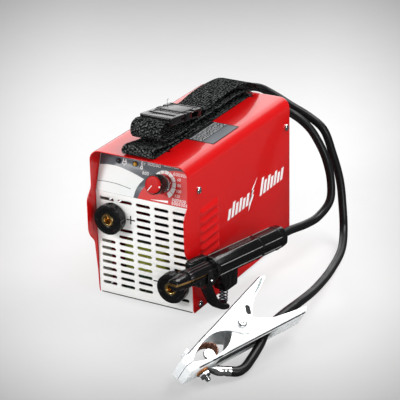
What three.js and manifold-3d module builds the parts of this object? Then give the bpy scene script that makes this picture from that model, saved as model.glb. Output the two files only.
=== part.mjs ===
// A small stick welding inverter: folded sheet housing, control panel, two lead sockets, fan-cooled
// power electronics, carrying strap with a side-release buckle, electrode holder and earth clamp.
// Millimetres. X is to the right, Y runs from the front panel to the back, and Z is up from the floor.
// Everything is drawn about the middle of the front panel's foot, and the finished machine is then moved
// so that the origin lies under the centre of the front left foot.
import * as THREE from 'three';
import { mergeVertices } from 'three/addons/utils/BufferGeometryUtils.js';
import Module from 'manifold-3d';

const wasm = await Module();
wasm.setup();

// ---------- driving dimensions ----------
const bodyWidth = 120;
const bodyDepth = 225;
const footHeight = 4;
const footPlaces = {
  front_left: [-48, 16], front_right: [48, 16], rear_left: [-48, 207], rear_right: [48, 207],
};
const bodyTop = 174.3;
const sheet = 1;
const panelSheet = 1.2;
const coverRadius = 12;
const gap = 0.3;

const sideX = bodyWidth / 2;
const panelHalfWidth = sideX - sheet - 0.5;
const panelFoot = footHeight + panelSheet + gap;

// The control panel leans back from a fold line across the front panel.
const foldHeight = 124.5;
const leanDegrees = 18;
const slopeLength = 50;
const lean = THREE.MathUtils.degToRad(leanDegrees);

// Ventilation grid of the front panel: columns and rows counted from the top left.
const gridColumns = 5;
const gridRows = 13;
const gridPitchX = 22.63;
const gridPitchZ = 8.34;
const gridTopZ = 117.4;
const slotLength = 17.8;
const slotHeight = 3.6;
const blankSlots = { 1: [2, 6], 2: [2, 4], 4: [10, 13], 5: [10, 12] };

// Lead sockets, 10-25 size.
const sockets = { positive: [-38, 98], negative: [38, 33.5] };
const collarRadius = 17;
const collarDepth = 12;
const insertRadius = 7.3;
const insertBore = 4.6;

// Places on the leaning panel: x, then distance up the slope.
const dialPlace = [22.5, 21.9];
const powerLedPlace = [-34.7, 36.3];
const faultLedPlace = [-14, 36.5];
const ledRadius = 2.4;
const knobRadius = 10.6;

// Side of the cover.
const louvreCount = 6;
const louvrePitch = 10.3;
const louvreLowest = 64;
const louvreMiddleY = 36;
const louvreLength = 42;
const louvreHeight = 6;
const louvreStandOff = 2.2;
const screwPlaces = { upper_front: [14.8, 142], upper_rear: [216, 142], lower_front: [12.5, 10] };

// Back of the machine.
const rearPanelY = bodyDepth - 4;
const fanCentre = [5, 85];
const fanSize = 80;
const fanDepth = 24.5;
const switchCentre = [-30, 150];
const glandCentre = [-16, 26];
const cordRadius = 3.5;
const leadRadius = 4.8;

// Carrying strap.
const webbing = 1.8;
const strapLeft = -20;
const strapRight = 18;
const strapSlotFront = 26;
const strapSlotRear = 212;

// ---------- helpers ----------
// Merges shared vertices, drops empty triangles and turns the faces outwards.
function tidy(geometry) {
  const bare = geometry.clone();
  bare.deleteAttribute('normal');
  bare.deleteAttribute('uv');
  const merged = mergeVertices(bare, 1e-4);
  const place = merged.getAttribute('position');
  const index = merged.getIndex();
  const triangles = [];
  const corner = [0, 1, 2].map(() => new THREE.Vector3());
  let volume = 0;
  for (let i = 0; i < index.count; i += 3) {
    const [a, b, c] = [index.getX(i), index.getX(i + 1), index.getX(i + 2)];
    if (a === b || b === c || c === a) continue;
    [a, b, c].forEach((vertex, k) => corner[k].fromBufferAttribute(place, vertex));
    volume += corner[0].dot(corner[1].clone().cross(corner[2]));
    triangles.push([a, b, c]);
  }
  if (volume < 0) triangles.forEach((triangle) => triangle.reverse());
  merged.setIndex(triangles.flat());
  return merged;
}

function toSolid(geometry) {
  const closed = tidy(geometry);
  return new wasm.Manifold(new wasm.Mesh({
    numProp: 3,
    vertProperties: new Float32Array(closed.getAttribute('position').array),
    triVerts: new Uint32Array(closed.getIndex().array),
  }));
}

function toGeometry(solid) {
  const mesh = solid.getMesh();
  const geometry = new THREE.BufferGeometry();
  geometry.setAttribute('position', new THREE.BufferAttribute(new Float32Array(mesh.vertProperties), 3));
  geometry.setIndex(Array.from(mesh.triVerts));
  return geometry;
}

function join(...pieces) {
  return toGeometry(pieces.map(toSolid).reduce((whole, piece) => whole.add(piece)));
}

function cut(piece, ...cutters) {
  return toGeometry(cutters.map(toSolid).reduce((whole, cutter) => whole.subtract(cutter), toSolid(piece)));
}

function polygon(points) {
  return new THREE.Shape(points.map(([x, y]) => new THREE.Vector2(x, y)));
}

function circle(x, y, radius) {
  const shape = new THREE.Shape();
  shape.absarc(x, y, radius, 0, 2 * Math.PI, false);
  return shape;
}

function rectangle(xLow, yLow, xHigh, yHigh) {
  return polygon([[xLow, yLow], [xHigh, yLow], [xHigh, yHigh], [xLow, yHigh]]);
}

// A rectangle whose ends are half circles.
function stadium(x, y, length, height) {
  const radius = height / 2;
  const shape = new THREE.Shape();
  shape.absarc(x + length / 2 - radius, y, radius, -Math.PI / 2, Math.PI / 2, false);
  shape.absarc(x - length / 2 + radius, y, radius, Math.PI / 2, 1.5 * Math.PI, false);
  return shape;
}

// A rectangle with its two upper corners rounded.
function roundTopped(xLow, yLow, xHigh, yHigh, radius) {
  const shape = new THREE.Shape();
  shape.moveTo(xLow, yLow);
  shape.lineTo(xHigh, yLow);
  shape.absarc(xHigh - radius, yHigh - radius, radius, 0, Math.PI / 2, false);
  shape.absarc(xLow + radius, yHigh - radius, radius, Math.PI / 2, Math.PI, false);
  return shape;
}

function extrude(shape, depth, segments = 6) {
  return new THREE.ExtrudeGeometry(shape, { depth, bevelEnabled: false, curveSegments: segments });
}

// Extrudes a shape drawn in (x, z) from one y to another.
function alongY(shape, yStart, yEnd, segments) {
  return extrude(shape, yEnd - yStart, segments).rotateX(Math.PI / 2).translate(0, yEnd, 0);
}

// Extrudes a shape drawn in (y, z) from one x to another.
function alongX(shape, xStart, xEnd, segments) {
  const turn = new THREE.Matrix4().makeBasis(
    new THREE.Vector3(0, 1, 0), new THREE.Vector3(0, 0, 1), new THREE.Vector3(1, 0, 0));
  return extrude(shape, xEnd - xStart, segments).applyMatrix4(turn).translate(xStart, 0, 0);
}

// Extrudes a shape drawn in (x, y) from one z to another.
function alongZ(shape, zStart, zEnd, segments) {
  return extrude(shape, zEnd - zStart, segments).translate(0, 0, zStart);
}

function box(xLow, yLow, zLow, xHigh, yHigh, zHigh) {
  return new THREE.BoxGeometry(xHigh - xLow, yHigh - yLow, zHigh - zLow)
    .translate((xLow + xHigh) / 2, (yLow + yHigh) / 2, (zLow + zHigh) / 2);
}

// Turns a profile of [radius, height] points about the Y axis.
function turned(profile, segments = 20) {
  return tidy(new THREE.LatheGeometry(profile.map(([r, h]) => new THREE.Vector2(r, h)), segments));
}

// Sweeps a round section along a smooth curve through the points.
function sweep(points, radius, steps, sides = 5) {
  const path = new THREE.CatmullRomCurve3(points.map((point) => new THREE.Vector3(...point)));
  return new THREE.ExtrudeGeometry(circle(0, 0, radius), {
    steps, extrudePath: path, bevelEnabled: false, curveSegments: sides,
  });
}

// A band of even thickness that follows a smooth curve in (y, z), across x.
function ribbon(points, thickness, xStart, xEnd, steps) {
  const curve = new THREE.SplineCurve(points.map(([y, z]) => new THREE.Vector2(y, z)));
  const upper = [];
  const lower = [];
  for (let i = 0; i <= steps; i += 1) {
    const middle = curve.getPoint(i / steps);
    const across = curve.getTangent(i / steps).rotateAround(new THREE.Vector2(), Math.PI / 2);
    upper.push(middle.clone().addScaledVector(across, thickness / 2).toArray());
    lower.unshift(middle.clone().addScaledVector(across, -thickness / 2).toArray());
  }
  return alongX(polygon([...upper, ...lower]), xStart, xEnd);
}

function helix(radius, wire, turns, length, stepsPerTurn) {
  const points = [];
  for (let i = 0; i <= turns * 8; i += 1) {
    const angle = (i / 8) * 2 * Math.PI;
    points.push([radius * Math.cos(angle), radius * Math.sin(angle), (length * i) / (turns * 8)]);
  }
  return sweep(points, wire, turns * stepsPerTurn, 2);
}

// Puts a piece drawn as (x, up the slope, out of the panel) onto the leaning control panel.
function onSlope(geometry) {
  const across = new THREE.Vector3(1, 0, 0);
  const up = new THREE.Vector3(0, Math.sin(lean), Math.cos(lean));
  const out = new THREE.Vector3(0, -Math.cos(lean), Math.sin(lean));
  return geometry.applyMatrix4(new THREE.Matrix4().makeBasis(across, up, out)).translate(0, 0, foldHeight);
}

// A turned piece whose axis stands out of the leaning panel at a place on it.
function turnedOnSlope(profile, [x, s], segments) {
  return onSlope(turned(profile, segments).rotateX(Math.PI / 2).translate(x, s, 0));
}

const machine = new THREE.Group();

function part(name, geometry, color, roughness, metalness, parent = machine) {
  const material = new THREE.MeshStandardMaterial({ color, roughness, metalness });
  const mesh = new THREE.Mesh(tidy(geometry), material);
  mesh.name = name;
  parent.add(mesh);
  return mesh;
}

// ---------- colours ----------
const paintRed = 0xc8141c;
const panelWhite = 0xe9e9e6;
const blackRubber = 0x1b1b1c;
const blackPlastic = 0x151517;
const zinc = 0xc3c8cb;
const brass = 0xc9a04e;
const copper = 0xb4653a;

// ---------- cover ----------
function coverShell() {
  const wall = new THREE.Shape();
  const inner = coverRadius - sheet;
  const arcZ = bodyTop - coverRadius;
  const arcX = sideX - coverRadius;
  wall.moveTo(-sideX, footHeight);
  wall.absarc(-arcX, arcZ, coverRadius, Math.PI, Math.PI / 2, true);
  wall.absarc(arcX, arcZ, coverRadius, Math.PI / 2, 0, true);
  wall.lineTo(sideX, footHeight);
  wall.lineTo(sideX - sheet, footHeight);
  wall.absarc(arcX, arcZ, inner, 0, Math.PI / 2, false);
  wall.absarc(-arcX, arcZ, inner, Math.PI / 2, Math.PI, false);
  wall.lineTo(-sideX + sheet, footHeight);
  return alongY(wall, -20, bodyDepth, 5);
}

// Everything in front of the shaped front edge of the side walls, which has a forward ear half way up.
function frontEdgeCutter() {
  const edge = [
    [0, 6], [-1, 30], [-5, 67], [-14, 77], [-16.5, 84], [-16.5, 118], [-14, 124], [-8, 130], [-7, 134],
  ];
  return alongX(polygon([[-40, -10], [1.5, -10], [1.5, 4], ...edge, [-7, 190], [-40, 190]]), -70, 70);
}

function coverSheet() {
  const hoods = [];
  const cutters = [frontEdgeCutter()];
  for (const side of [-1, 1]) {
    for (let i = 0; i < louvreCount; i += 1) {
      const z = louvreLowest + i * louvrePitch;
      const hoodRange = [side * (sideX - sheet), side * (sideX + louvreStandOff)].sort((a, b) => a - b);
      const hollowRange = [side * (sideX - 2 * sheet), side * (sideX + louvreStandOff - sheet)]
        .sort((a, b) => a - b);
      const hood = stadium(louvreMiddleY, z, louvreLength, louvreHeight);
      const hollow = stadium(louvreMiddleY, z - 1.6, louvreLength - 2, louvreHeight - 1.2);
      hoods.push(alongX(hood, ...hoodRange, 1));
      cutters.push(alongX(hollow, ...hollowRange, 1));
    }
    for (const [y, z] of Object.values(screwPlaces)) {
      cutters.push(alongX(circle(y, z, 2.3), side * sideX - 3, side * sideX + 3, 4));
    }
  }
  for (const y of [strapSlotFront, strapSlotRear]) {
    cutters.push(box(strapLeft - 2, y - 2.5, bodyTop - 5, strapRight + 2, y + 2.5, bodyTop + 5));
  }
  return cut(join(coverShell(), ...hoods), ...cutters);
}
part('cover', coverSheet(), paintRed, 0.28, 0.1);

// ---------- front panel ----------
function gridSlots() {
  const slots = [];
  for (let column = 1; column <= gridColumns; column += 1) {
    for (let row = 1; row <= gridRows; row += 1) {
      const blank = blankSlots[column];
      if (blank && row >= blank[0] && row <= blank[1]) continue;
      const x = (column - 3) * gridPitchX;
      slots.push(stadium(x, gridTopZ - (row - 1) * gridPitchZ, slotLength, slotHeight));
    }
  }
  return slots;
}

// Side flange of a panel, with clearance holes for the cover screws.
function sideFlange(outline, side, places) {
  const range = [side * panelHalfWidth, side * (panelHalfWidth - panelSheet)].sort((a, b) => a - b);
  const shape = polygon(outline);
  places.forEach(([y, z]) => shape.holes.push(circle(y, z, 2.4)));
  return alongX(shape, ...range, 4);
}

function frontPanel() {
  const lower = rectangle(-panelHalfWidth, panelFoot, panelHalfWidth, foldHeight);
  lower.holes.push(...gridSlots());
  const socketHoles = Object.values(sockets).map(([x, z]) => alongY(circle(x, z, 11.2), -2, 4, 8));
  const upper = roundTopped(-panelHalfWidth, 0, panelHalfWidth, slopeLength, 11.5);
  upper.holes.push(circle(...dialPlace, 4.4));
  upper.holes.push(circle(...powerLedPlace, ledRadius + gap));
  upper.holes.push(circle(...faultLedPlace, ledRadius + gap));
  const flangeTop = 160;
  const flangeTopY = (flangeTop - foldHeight) * Math.tan(lean);
  const outline = [
    [0.2, panelFoot], [24, panelFoot], [24, flangeTop], [flangeTopY + 0.5, flangeTop],
    [0.3, foldHeight],
  ];
  const places = [screwPlaces.upper_front, screwPlaces.lower_front];
  return join(
    cut(alongY(lower, 0, panelSheet, 1), ...socketHoles),
    onSlope(alongZ(upper, -panelSheet, 0, 5)),
    sideFlange(outline, -1, places),
    sideFlange(outline, 1, places));
}
part('front_panel', frontPanel(), panelWhite, 0.35, 0.1);

function controlLabel() {
  const film = roundTopped(-57.6, 0.9, 57.6, 48.6, 10.5);
  film.holes.push(circle(...dialPlace, 4.4));
  film.holes.push(circle(...powerLedPlace, ledRadius + gap));
  film.holes.push(circle(...faultLedPlace, ledRadius + gap));
  return onSlope(alongZ(film, 0.1, 0.5, 6));
}
part('control_label', controlLabel(), 0x4a4d52, 0.35, 0);

// ---------- rear panel, base and feet ----------
function rearPanel() {
  const plate = roundTopped(-panelHalfWidth, panelFoot, panelHalfWidth, bodyTop - 1.8, 10.7);
  plate.holes.push(circle(...fanCentre, fanSize / 2 - 3));
  plate.holes.push(circle(...glandCentre, 7.6));
  const [x, z] = switchCentre;
  plate.holes.push(rectangle(x - 12.5, z - 8.5, x + 12.5, z + 8.5));
  const outline = [[204, panelFoot], [rearPanelY + 0.4, panelFoot], [rearPanelY + 0.4, 158], [204, 158]];
  return join(
    alongY(plate, rearPanelY, rearPanelY + panelSheet, 6),
    sideFlange(outline, -1, [screwPlaces.upper_rear]),
    sideFlange(outline, 1, [screwPlaces.upper_rear]));
}
part('rear_panel', rearPanel(), panelWhite, 0.4, 0.1);

// Flat tray with an upturned edge along each side, between the flanges of the two panels.
function basePlate() {
  const half = panelHalfWidth - panelSheet - 0.4;
  const floor = box(-half, 0.5, footHeight, half, rearPanelY + panelSheet, footHeight + panelSheet);
  const edges = [-half, half - panelSheet].map((x) => box(x, 28, footHeight, x + panelSheet, 200, 16));
  return join(floor, ...edges);
}
part('base_plate', basePlate(), zinc, 0.4, 0.8);

function foot() {
  return turned([[0, 0], [7.4, 0], [8, 0.8], [8, footHeight], [0, footHeight]], 12).rotateX(Math.PI / 2);
}
for (const [name, [x, y]] of Object.entries(footPlaces)) {
  part(`foot_${name}`, foot(), blackRubber, 0.8, 0).position.set(x, y, 0);
}

// ---------- cover screws ----------
// Pan head outside the sheet, plain shank through the cover and the flange behind it.
function coverScrew() {
  return turned([[0, -6], [2, -6], [2, 0.05], [4, 0.05], [4, 1.2], [2.8, 2.3], [0, 2.6]], 8);
}
for (const [sideName, side] of [['left', -1], ['right', 1]]) {
  for (const [place, [y, z]] of Object.entries(screwPlaces)) {
    const screw = part(`cover_screw_${sideName}_${place}`, coverScrew(), zinc, 0.3, 0.9);
    screw.rotation.z = (-side * Math.PI) / 2;
    screw.position.set(side * sideX, y, z);
  }
}

// ---------- dial, lamps and control board ----------
part('potentiometer', turnedOnSlope([
  [0, -12], [8, -12], [8, -1.6], [4, -1.6], [4, 0.9], [9.1, 0.9], [9.1, 5.5], [3.3, 5.5],
  [3.3, -9], [0, -9],
], dialPlace, 16), zinc, 0.2, 0.9);
part('pot_shaft', turnedOnSlope([[0, -8.6], [3, -8.6], [3, 20], [0, 20]], dialPlace, 12), zinc, 0.3, 0.9);
part('knob_skirt', turnedOnSlope([
  [0, 20.4], [3.3, 20.4], [3.3, 7], [knobRadius, 7], [knobRadius, 20.8], [10.2, 21.7], [9.4, 21.7],
  [9.4, 21], [0, 21],
], dialPlace, 20), blackPlastic, 0.45, 0);
part('knob_cap', turnedOnSlope([[0, 21.3], [9.1, 21.3], [9.1, 22.8], [8.6, 23.3], [0, 23.4]], dialPlace, 20),
  paintRed, 0.35, 0);

const ledProfile = [
  [0, -6], [2.9, -6], [2.9, -4.8], [ledRadius, -4.8], [ledRadius, 0.6], [1.9, 1.7], [1, 2.3], [0, 2.4],
];
part('power_led', turnedOnSlope(ledProfile, powerLedPlace, 12), 0x222426, 0.1, 0);
part('fault_led', turnedOnSlope(ledProfile, faultLedPlace, 12), 0xd9a21b, 0.1, 0);
part('control_board', onSlope(alongZ(rectangle(-50, 6, 50, 45), -14.4, -12.8)), 0x1d6b3a, 0.5, 0);

// ---------- lead sockets ----------
for (const [name, [x, z]] of Object.entries(sockets)) {
  part(`socket_collar_${name}`, turned([
    [7.6, 0.6 - collarDepth], [14.6, -collarDepth], [collarRadius, 1.4 - collarDepth],
    [collarRadius, -0.1],
    [10.6, -0.1], [10.6, 5], [7.6, 5], [7.6, 0.6 - collarDepth],
  ], 18), blackPlastic, 0.4, 0).position.set(x, 0, z);
  part(`socket_insert_${name}`, turned([
    [0, 20], [5, 20], [5, 9.4], [9.5, 9.4], [9.5, 5.4], [insertRadius, 5.4],
    [insertRadius, -collarDepth],
    [insertBore, -collarDepth], [insertBore, 8], [0, 8],
  ], 14), brass, 0.25, 1).position.set(x, 0, z);
}

// ---------- power electronics ----------
const boardTop = 15.6;
function mainBoard() {
  const posts = [[-46, 36], [46, 36], [-46, 184], [46, 184]].map(([x, y]) =>
    alongZ(circle(x, y, 3), footHeight + panelSheet, boardTop - 0.5, 3));
  return join(box(-52, 30, boardTop - 1.6, 52, 190, boardTop), ...posts);
}
part('main_board', mainBoard(), 0x1d6b3a, 0.5, 0);

function transformer() {
  const core = box(-38, 38, boardTop + 0.1, -4, 64, 60);
  const winding = box(-47, 33, 22, 5, 69, 54);
  return join(core, winding);
}
part('transformer', transformer(), 0xd8dc3a, 0.5, 0);

part('output_choke', new THREE.TorusGeometry(14, 6.5, 7, 14).translate(32, 52, boardTop + 6.7),
  copper, 0.4, 0.2);
part('capacitor', turned([[0, 0], [14, 0], [15, 1], [15, 45], [14, 46], [0, 46]], 14)
  .rotateX(Math.PI / 2).translate(32, 89, boardTop + 0.1), 0x20242c, 0.4, 0);

function heatSink() {
  const finCount = 9;
  const fins = [];
  for (let i = 0; i < finCount; i += 1) {
    const x = -46 + (i * 92) / (finCount - 1);
    fins.push([x - 1, 21], [x - 1, 75], [x + 1, 75], [x + 1, 21]);
  }
  return alongY(polygon([[-48, 16], [-48, 21], ...fins, [48, 21], [48, 16]]), 108, 178);
}
part('heat_sink', heatSink(), 0xb8bcc0, 0.35, 0.9);

// ---------- fan ----------
const fanBack = rearPanelY - 0.2;
const fanFront = fanBack - fanDepth;
function fanFrame() {
  const [x, z] = fanCentre;
  const half = fanSize / 2 - 0.5;
  const wall = rectangle(x - half, z - half, x + half, z + half);
  wall.holes.push(circle(x, z, half - 1.5));
  const struts = [0, 1].map((i) => box(-half + 0.5, fanBack - 3, -1.5, half - 0.5, fanBack - 0.6, 1.5)
    .rotateY((i * Math.PI) / 2 + Math.PI / 4).translate(x, 0, z));
  const hub = alongY(circle(x, z, 15), fanBack - 4.5, fanBack - 0.6, 8);
  return join(alongY(wall, fanFront, fanBack, 12), hub, ...struts);
}
part('fan_frame', fanFrame(), blackPlastic, 0.5, 0);

function fanRotor() {
  const hub = alongY(circle(0, 0, 15), fanFront + 2, fanBack - 5.5, 8);
  const blades = [];
  for (let i = 0; i < 7; i += 1) {
    const blade = new THREE.BoxGeometry(22, 1.4, 15).rotateX(0.7).translate(24, 0, 0);
    blades.push(blade.translate(0, (fanFront + fanBack) / 2 - 2, 0).rotateY((i * 2 * Math.PI) / 7));
  }
  return join(hub, ...blades);
}
part('fan_rotor', fanRotor(), 0x2b2d30, 0.5, 0).position.set(fanCentre[0], 0, fanCentre[1]);

function fanGuard() {
  const low = rearPanelY + panelSheet + 0.1;
  const rings = [12, 24, 36].map((radius) => {
    const ring = circle(0, 0, radius + 1);
    ring.holes.push(circle(0, 0, radius - 1));
    return alongY(ring, low, low + 1.8, 6);
  });
  const bars = [1, 3].map((i) => box(-39, low, -1, 39, low + 1.8, 1).rotateY((i * Math.PI) / 4));
  return join(...rings, ...bars).translate(fanCentre[0], 0, fanCentre[1]);
}
part('fan_guard', fanGuard(), zinc, 0.3, 0.9);

// ---------- power switch ----------
function switchBezel() {
  const flange = rectangle(-15, -11, 15, 11);
  const body = rectangle(-12.1, -8.1, 12.1, 8.1);
  const hole = () => rectangle(-10.3, -6.5, 10.3, 6.5);
  flange.holes.push(hole());
  body.holes.push(hole());
  const back = rearPanelY + panelSheet;
  return join(alongY(flange, back + 0.05, back + 1.6), alongY(body, back - 14, back + 0.5))
    .translate(switchCentre[0], 0, switchCentre[1]);
}
part('switch_bezel', switchBezel(), blackPlastic, 0.35, 0);

const rockerPivotY = 216.5;
const rockerTilt = THREE.MathUtils.degToRad(8);
function switchRocker() {
  return alongX(polygon([[-5, -2.6], [6.3, -5], [5, 0], [6.3, 5], [-5, 2.6]]), -9.9, 9.9).rotateX(rockerTilt);
}
part('switch_rocker', switchRocker(), 0xb01418, 0.3, 0)
  .position.set(switchCentre[0], rockerPivotY, switchCentre[1]);

// ---------- mains cord ----------
part('cord_gland', turned([
  [4.6, 214], [7.2, 214], [7.2, 222.3], [10, 222.4], [10, 226], [6.6, 235], [4.6, 235], [4.6, 214],
], 16).translate(glandCentre[0], 0, glandCentre[1]), blackPlastic, 0.6, 0);

const [glandX, glandZ] = glandCentre;
const cordFloor = cordRadius + 0.3;
part('power_cord', sweep([
  [glandX, 212, glandZ], [glandX, 238, glandZ - 1], [glandX - 1, 252, 17], [glandX, 268, cordFloor + 1],
  [glandX + 6, 284, cordFloor], [glandX, 299, cordFloor + 4], [glandX - 14, 304, 14],
  [glandX - 22, 304, 18.6],
], cordRadius, 22, 4), blackRubber, 0.6, 0);

function powerPlug() {
  const body = turned([[0, 0], [5, 0], [8, 10], [17, 22], [18.5, 24], [18.5, 38], [0, 38]], 14);
  const pin = [[0, 37], [2.4, 37], [2.4, 56], [1.6, 57], [0, 57]];
  const pins = [-9.5, 9.5].map((x) => turned(pin, 8).translate(x, 0, 0));
  return join(body, ...pins);
}
const plug = part('power_plug', powerPlug(), blackRubber, 0.6, 0);
plug.position.set(glandX - 24.4, 304, 18.8);
plug.rotation.z = Math.PI / 2;

// ---------- carrying strap ----------
// One long webbing folded in a stack on top of the cover. Its ends go down through two slots, and each
// end is sewn into a thick hem that can't pass back through its slot.
const restZ = bodyTop + webbing / 2 + 0.05;
function strapTail(y) {
  return join(
    box(strapLeft, y - webbing / 2, bodyTop - 8, strapRight, y + webbing / 2, restZ),
    box(strapLeft, y - 3.6, bodyTop - 9, strapRight, y + 3.6, bodyTop - 5));
}
function strapBase() {
  const run = ribbon([
    [216, restZ], [160, restZ], [60, restZ], [12, restZ], [1, restZ + 0.2], [-5, 177.4],
    [-6, 181.5], [-1, 184.4],
    [10, 183.2], [29, 180.2], [60, 178.6], [84, 178.4],
  ], webbing, strapLeft, strapRight, 30);
  return join(run, strapTail(strapSlotFront), strapTail(strapSlotRear));
}
part('strap_base', strapBase(), 0x232323, 0.9, 0);

part('strap_front_loop', ribbon([
  [30.4, 205], [22, 206.4], [14.5, 203.6], [12.2, 197], [14.6, 190.4], [22, 186.6], [44, 183.6],
  [67, 183.8],
  [90, 186.6], [120, 186], [150, 186.6], [190, 185], [214, 179.4],
], webbing, strapLeft, strapRight, 32), 0x232323, 0.9, 0);

part('strap_arch', ribbon([
  [98.6, 195.6], [112, 192.6], [138, 194.6], [164, 196], [197, 194], [215, 188.6], [228, 181],
  [231, 176.4],
], webbing, strapLeft, strapRight, 18), 0x232323, 0.9, 0);

// ---------- buckle ----------
const buckle = new THREE.Group();
const buckleLength = 65;
const buckleSlope = THREE.MathUtils.degToRad(-8.3);
buckle.position.set((strapLeft + strapRight) / 2, 32, 204);
buckle.rotation.x = buckleSlope;
machine.add(buckle);

const maleLength = 30;
const socketStart = maleLength + 1;
function buckleMale() {
  const frame = alongZ(rectangle(-19.5, 0, 19.5, maleLength), -4.3, 4.3);
  const bar = box(-16, 4, -6, 16, 10, -1.4);
  const barSlot = box(-16, 12, -6, 16, 17, 6);
  const tongue = box(-4, maleLength - 1, -2, 4, maleLength + 22, 2);
  const prongs = [-1, 1].map((side) => alongZ(polygon([
    [side * 9, maleLength - 1], [side * 14, maleLength - 1], [side * 14.6, maleLength + 14],
    [side * 16.6, maleLength + 16], [side * 15.6, maleLength + 24], [side * 11, maleLength + 24],
  ]), -2.2, 2.2));
  return join(cut(frame, bar, barSlot), tongue, ...prongs);
}
part('buckle_male', buckleMale(), blackPlastic, 0.35, 0, buckle);

function buckleFemale() {
  const shell = alongZ(rectangle(-20, socketStart, 20, buckleLength), -4.6, 4.6);
  const hollow = box(-17.2, socketStart - 1, -2.7, 17.2, socketStart + 25.5, 2.7);
  const windows = [-18.6, 18.6]
    .map((x) => box(x - 3, socketStart + 12, -2.7, x + 3, socketStart + 25.5, 2.7));
  const barSlot = box(-17, buckleLength - 6, -6, 17, buckleLength - 2.6, 6);
  return cut(shell, hollow, ...windows, barSlot);
}
part('buckle_female', buckleFemale(), blackPlastic, 0.35, 0, buckle);

// ---------- electrode holder ----------
// Drawn with its tip at the origin, its handle along +Y and its squeeze lever below.
const holder = new THREE.Group();
holder.position.set(69, -59.3, 65.7);
holder.rotation.set(THREE.MathUtils.degToRad(-5.7), 0, THREE.MathUtils.degToRad(-6.73), 'ZYX');
machine.add(holder);

const handleLength = 197;
const handleFront = 66;
const handleRadius = 12.5;
const leverPivot = [57, -8.5];
const pinRadius = 2;
const jawPlateTop = 1.8;

// Upper half of a round bar along Y, above a given height.
function upperHalfBar(radiusFront, radiusBack, yStart, yEnd, zLow) {
  const bar = turned([[0, yStart], [radiusFront, yStart], [radiusBack, yEnd], [0, yEnd]], 16);
  return cut(bar, box(-30, yStart - 1, -30, 30, yEnd + 1, zLow));
}

function holderHandle() {
  const facets = new THREE.CylinderGeometry(1, 1, handleLength - handleFront, 8).rotateY(Math.PI / 8);
  const scale = handleRadius / Math.cos(Math.PI / 8);
  facets.scale(scale, 1, scale).translate(0, (handleLength + handleFront) / 2, 0);
  const flange = turned([[0, 63], [14.2, 63], [14.2, 67], [0, 67]], 16);
  const bracket = alongX(polygon([[76, -9], [108, -9], [108, -28], [87, -31]]), -8, 8);
  const cheeks = [-1, 1].map((side) => box(side * 9.2 - 1.3, 50, -13, side * 9.2 + 1.3, 64, 4));
  const thumbRest = box(-11, 36, 4, -2, 64.5, 14.5);
  const body = join(
    facets, flange, bracket, ...cheeks, thumbRest,
    upperHalfBar(10.2, 10.2, 21, 64, jawPlateTop + gap),
    upperHalfBar(6.8, 8.6, 1, 22, jawPlateTop + gap));
  const pinHole = alongX(circle(...leverPivot, pinRadius + gap), -20, 20, 5);
  const seat = box(-8.5, 40, -1, 8.5, 62.3, jawPlateTop + gap);
  const leverRelief = box(-8, 62, -16, 8, 69.5, -9);
  return cut(body, pinHole, seat, leverRelief);
}
part('holder_handle', holderHandle(), blackPlastic, 0.35, 0, holder);

part('holder_jaw', alongZ(polygon([
  [-5, 0], [5, 0], [8.4, 20], [8.4, 49], [7.4, 49.2], [7.4, 62], [-7.4, 62], [-7.4, 49.2],
  [-8.4, 49], [-8.4, 20],
]), -0.8, jawPlateTop), brass, 0.3, 1, holder);

function holderLever() {
  const nose = turned([[0, 3], [7, 3], [9.4, 22], [9.4, 49], [0, 49]], 16);
  const lowerHalf = cut(nose, box(-30, 0, -1.2, 30, 60, 30));
  const root = box(-7.4, 40, -13, 7.4, 60, -1.6);
  const tail = ribbon([[52, -9], [60, -17], [69, -33], [81, -45.5], [97, -52]], 8, -6.5, 6.5, 12);
  const pinHole = alongX(circle(...leverPivot, pinRadius + gap), -20, 20, 5);
  return cut(join(lowerHalf, root, tail), pinHole);
}
part('holder_lever', holderLever(), blackPlastic, 0.35, 0, holder);

part('holder_pin', alongX(circle(...leverPivot, pinRadius), -10.4, 10.4, 5), zinc, 0.3, 0.9, holder);
part('holder_spring', helix(4.2, 0.8, 4, 13, 9).translate(0, 93.5, -44.6), zinc, 0.3, 0.9, holder);

// ---------- earth clamp ----------
// Drawn flat: U runs from the jaws to the handles, W points to the upper arm, and the rivet stands
// along the third axis through the origin. Each arm is a pressed channel.
const clamp = new THREE.Group();
clamp.position.set(142.8, -57.5, 30.9);
const clampTurn = [35.4, -9.06, 77.1].map((degrees) => THREE.MathUtils.degToRad(degrees));
clamp.rotation.set(...clampTurn, 'ZYX');
machine.add(clamp);

const armSheet = 1.6;
const armTaper = 0.149;
const armHalfAtRivet = 20.4;
const jawEnd = -82;
const upperHandleEnd = 62.5;
const lowerHandleEnd = 75;
const rivetRadius = 3.6;
const upperHalfWidth = 15;
const lowerHalfWidth = 13;
const backEdge = (u) => armHalfAtRivet + armTaper * u;

// Side plate of an arm, on the +W side: straight back, curved opening behind the jaw, round knuckle.
function armPlate(handleEnd) {
  const plate = new THREE.Shape();
  plate.moveTo(jawEnd, backEdge(jawEnd));
  plate.lineTo(handleEnd - 6, backEdge(handleEnd - 6));
  plate.quadraticCurveTo(handleEnd + 3, backEdge(handleEnd) + 0.6, handleEnd, backEdge(handleEnd) - 6);
  plate.lineTo(43, 16.5);
  plate.quadraticCurveTo(28, 13, 14.5, -2);
  plate.absarc(2, -0.5, 11.5, 0, -0.85 * Math.PI, true);
  plate.quadraticCurveTo(-22, 11, -40, 10.2);
  plate.quadraticCurveTo(-58, 9.4, -73, 0.35);
  plate.lineTo(jawEnd, 0.35);
  plate.holes.push(circle(0, 0, rivetRadius + gap));
  return plate;
}

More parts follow.
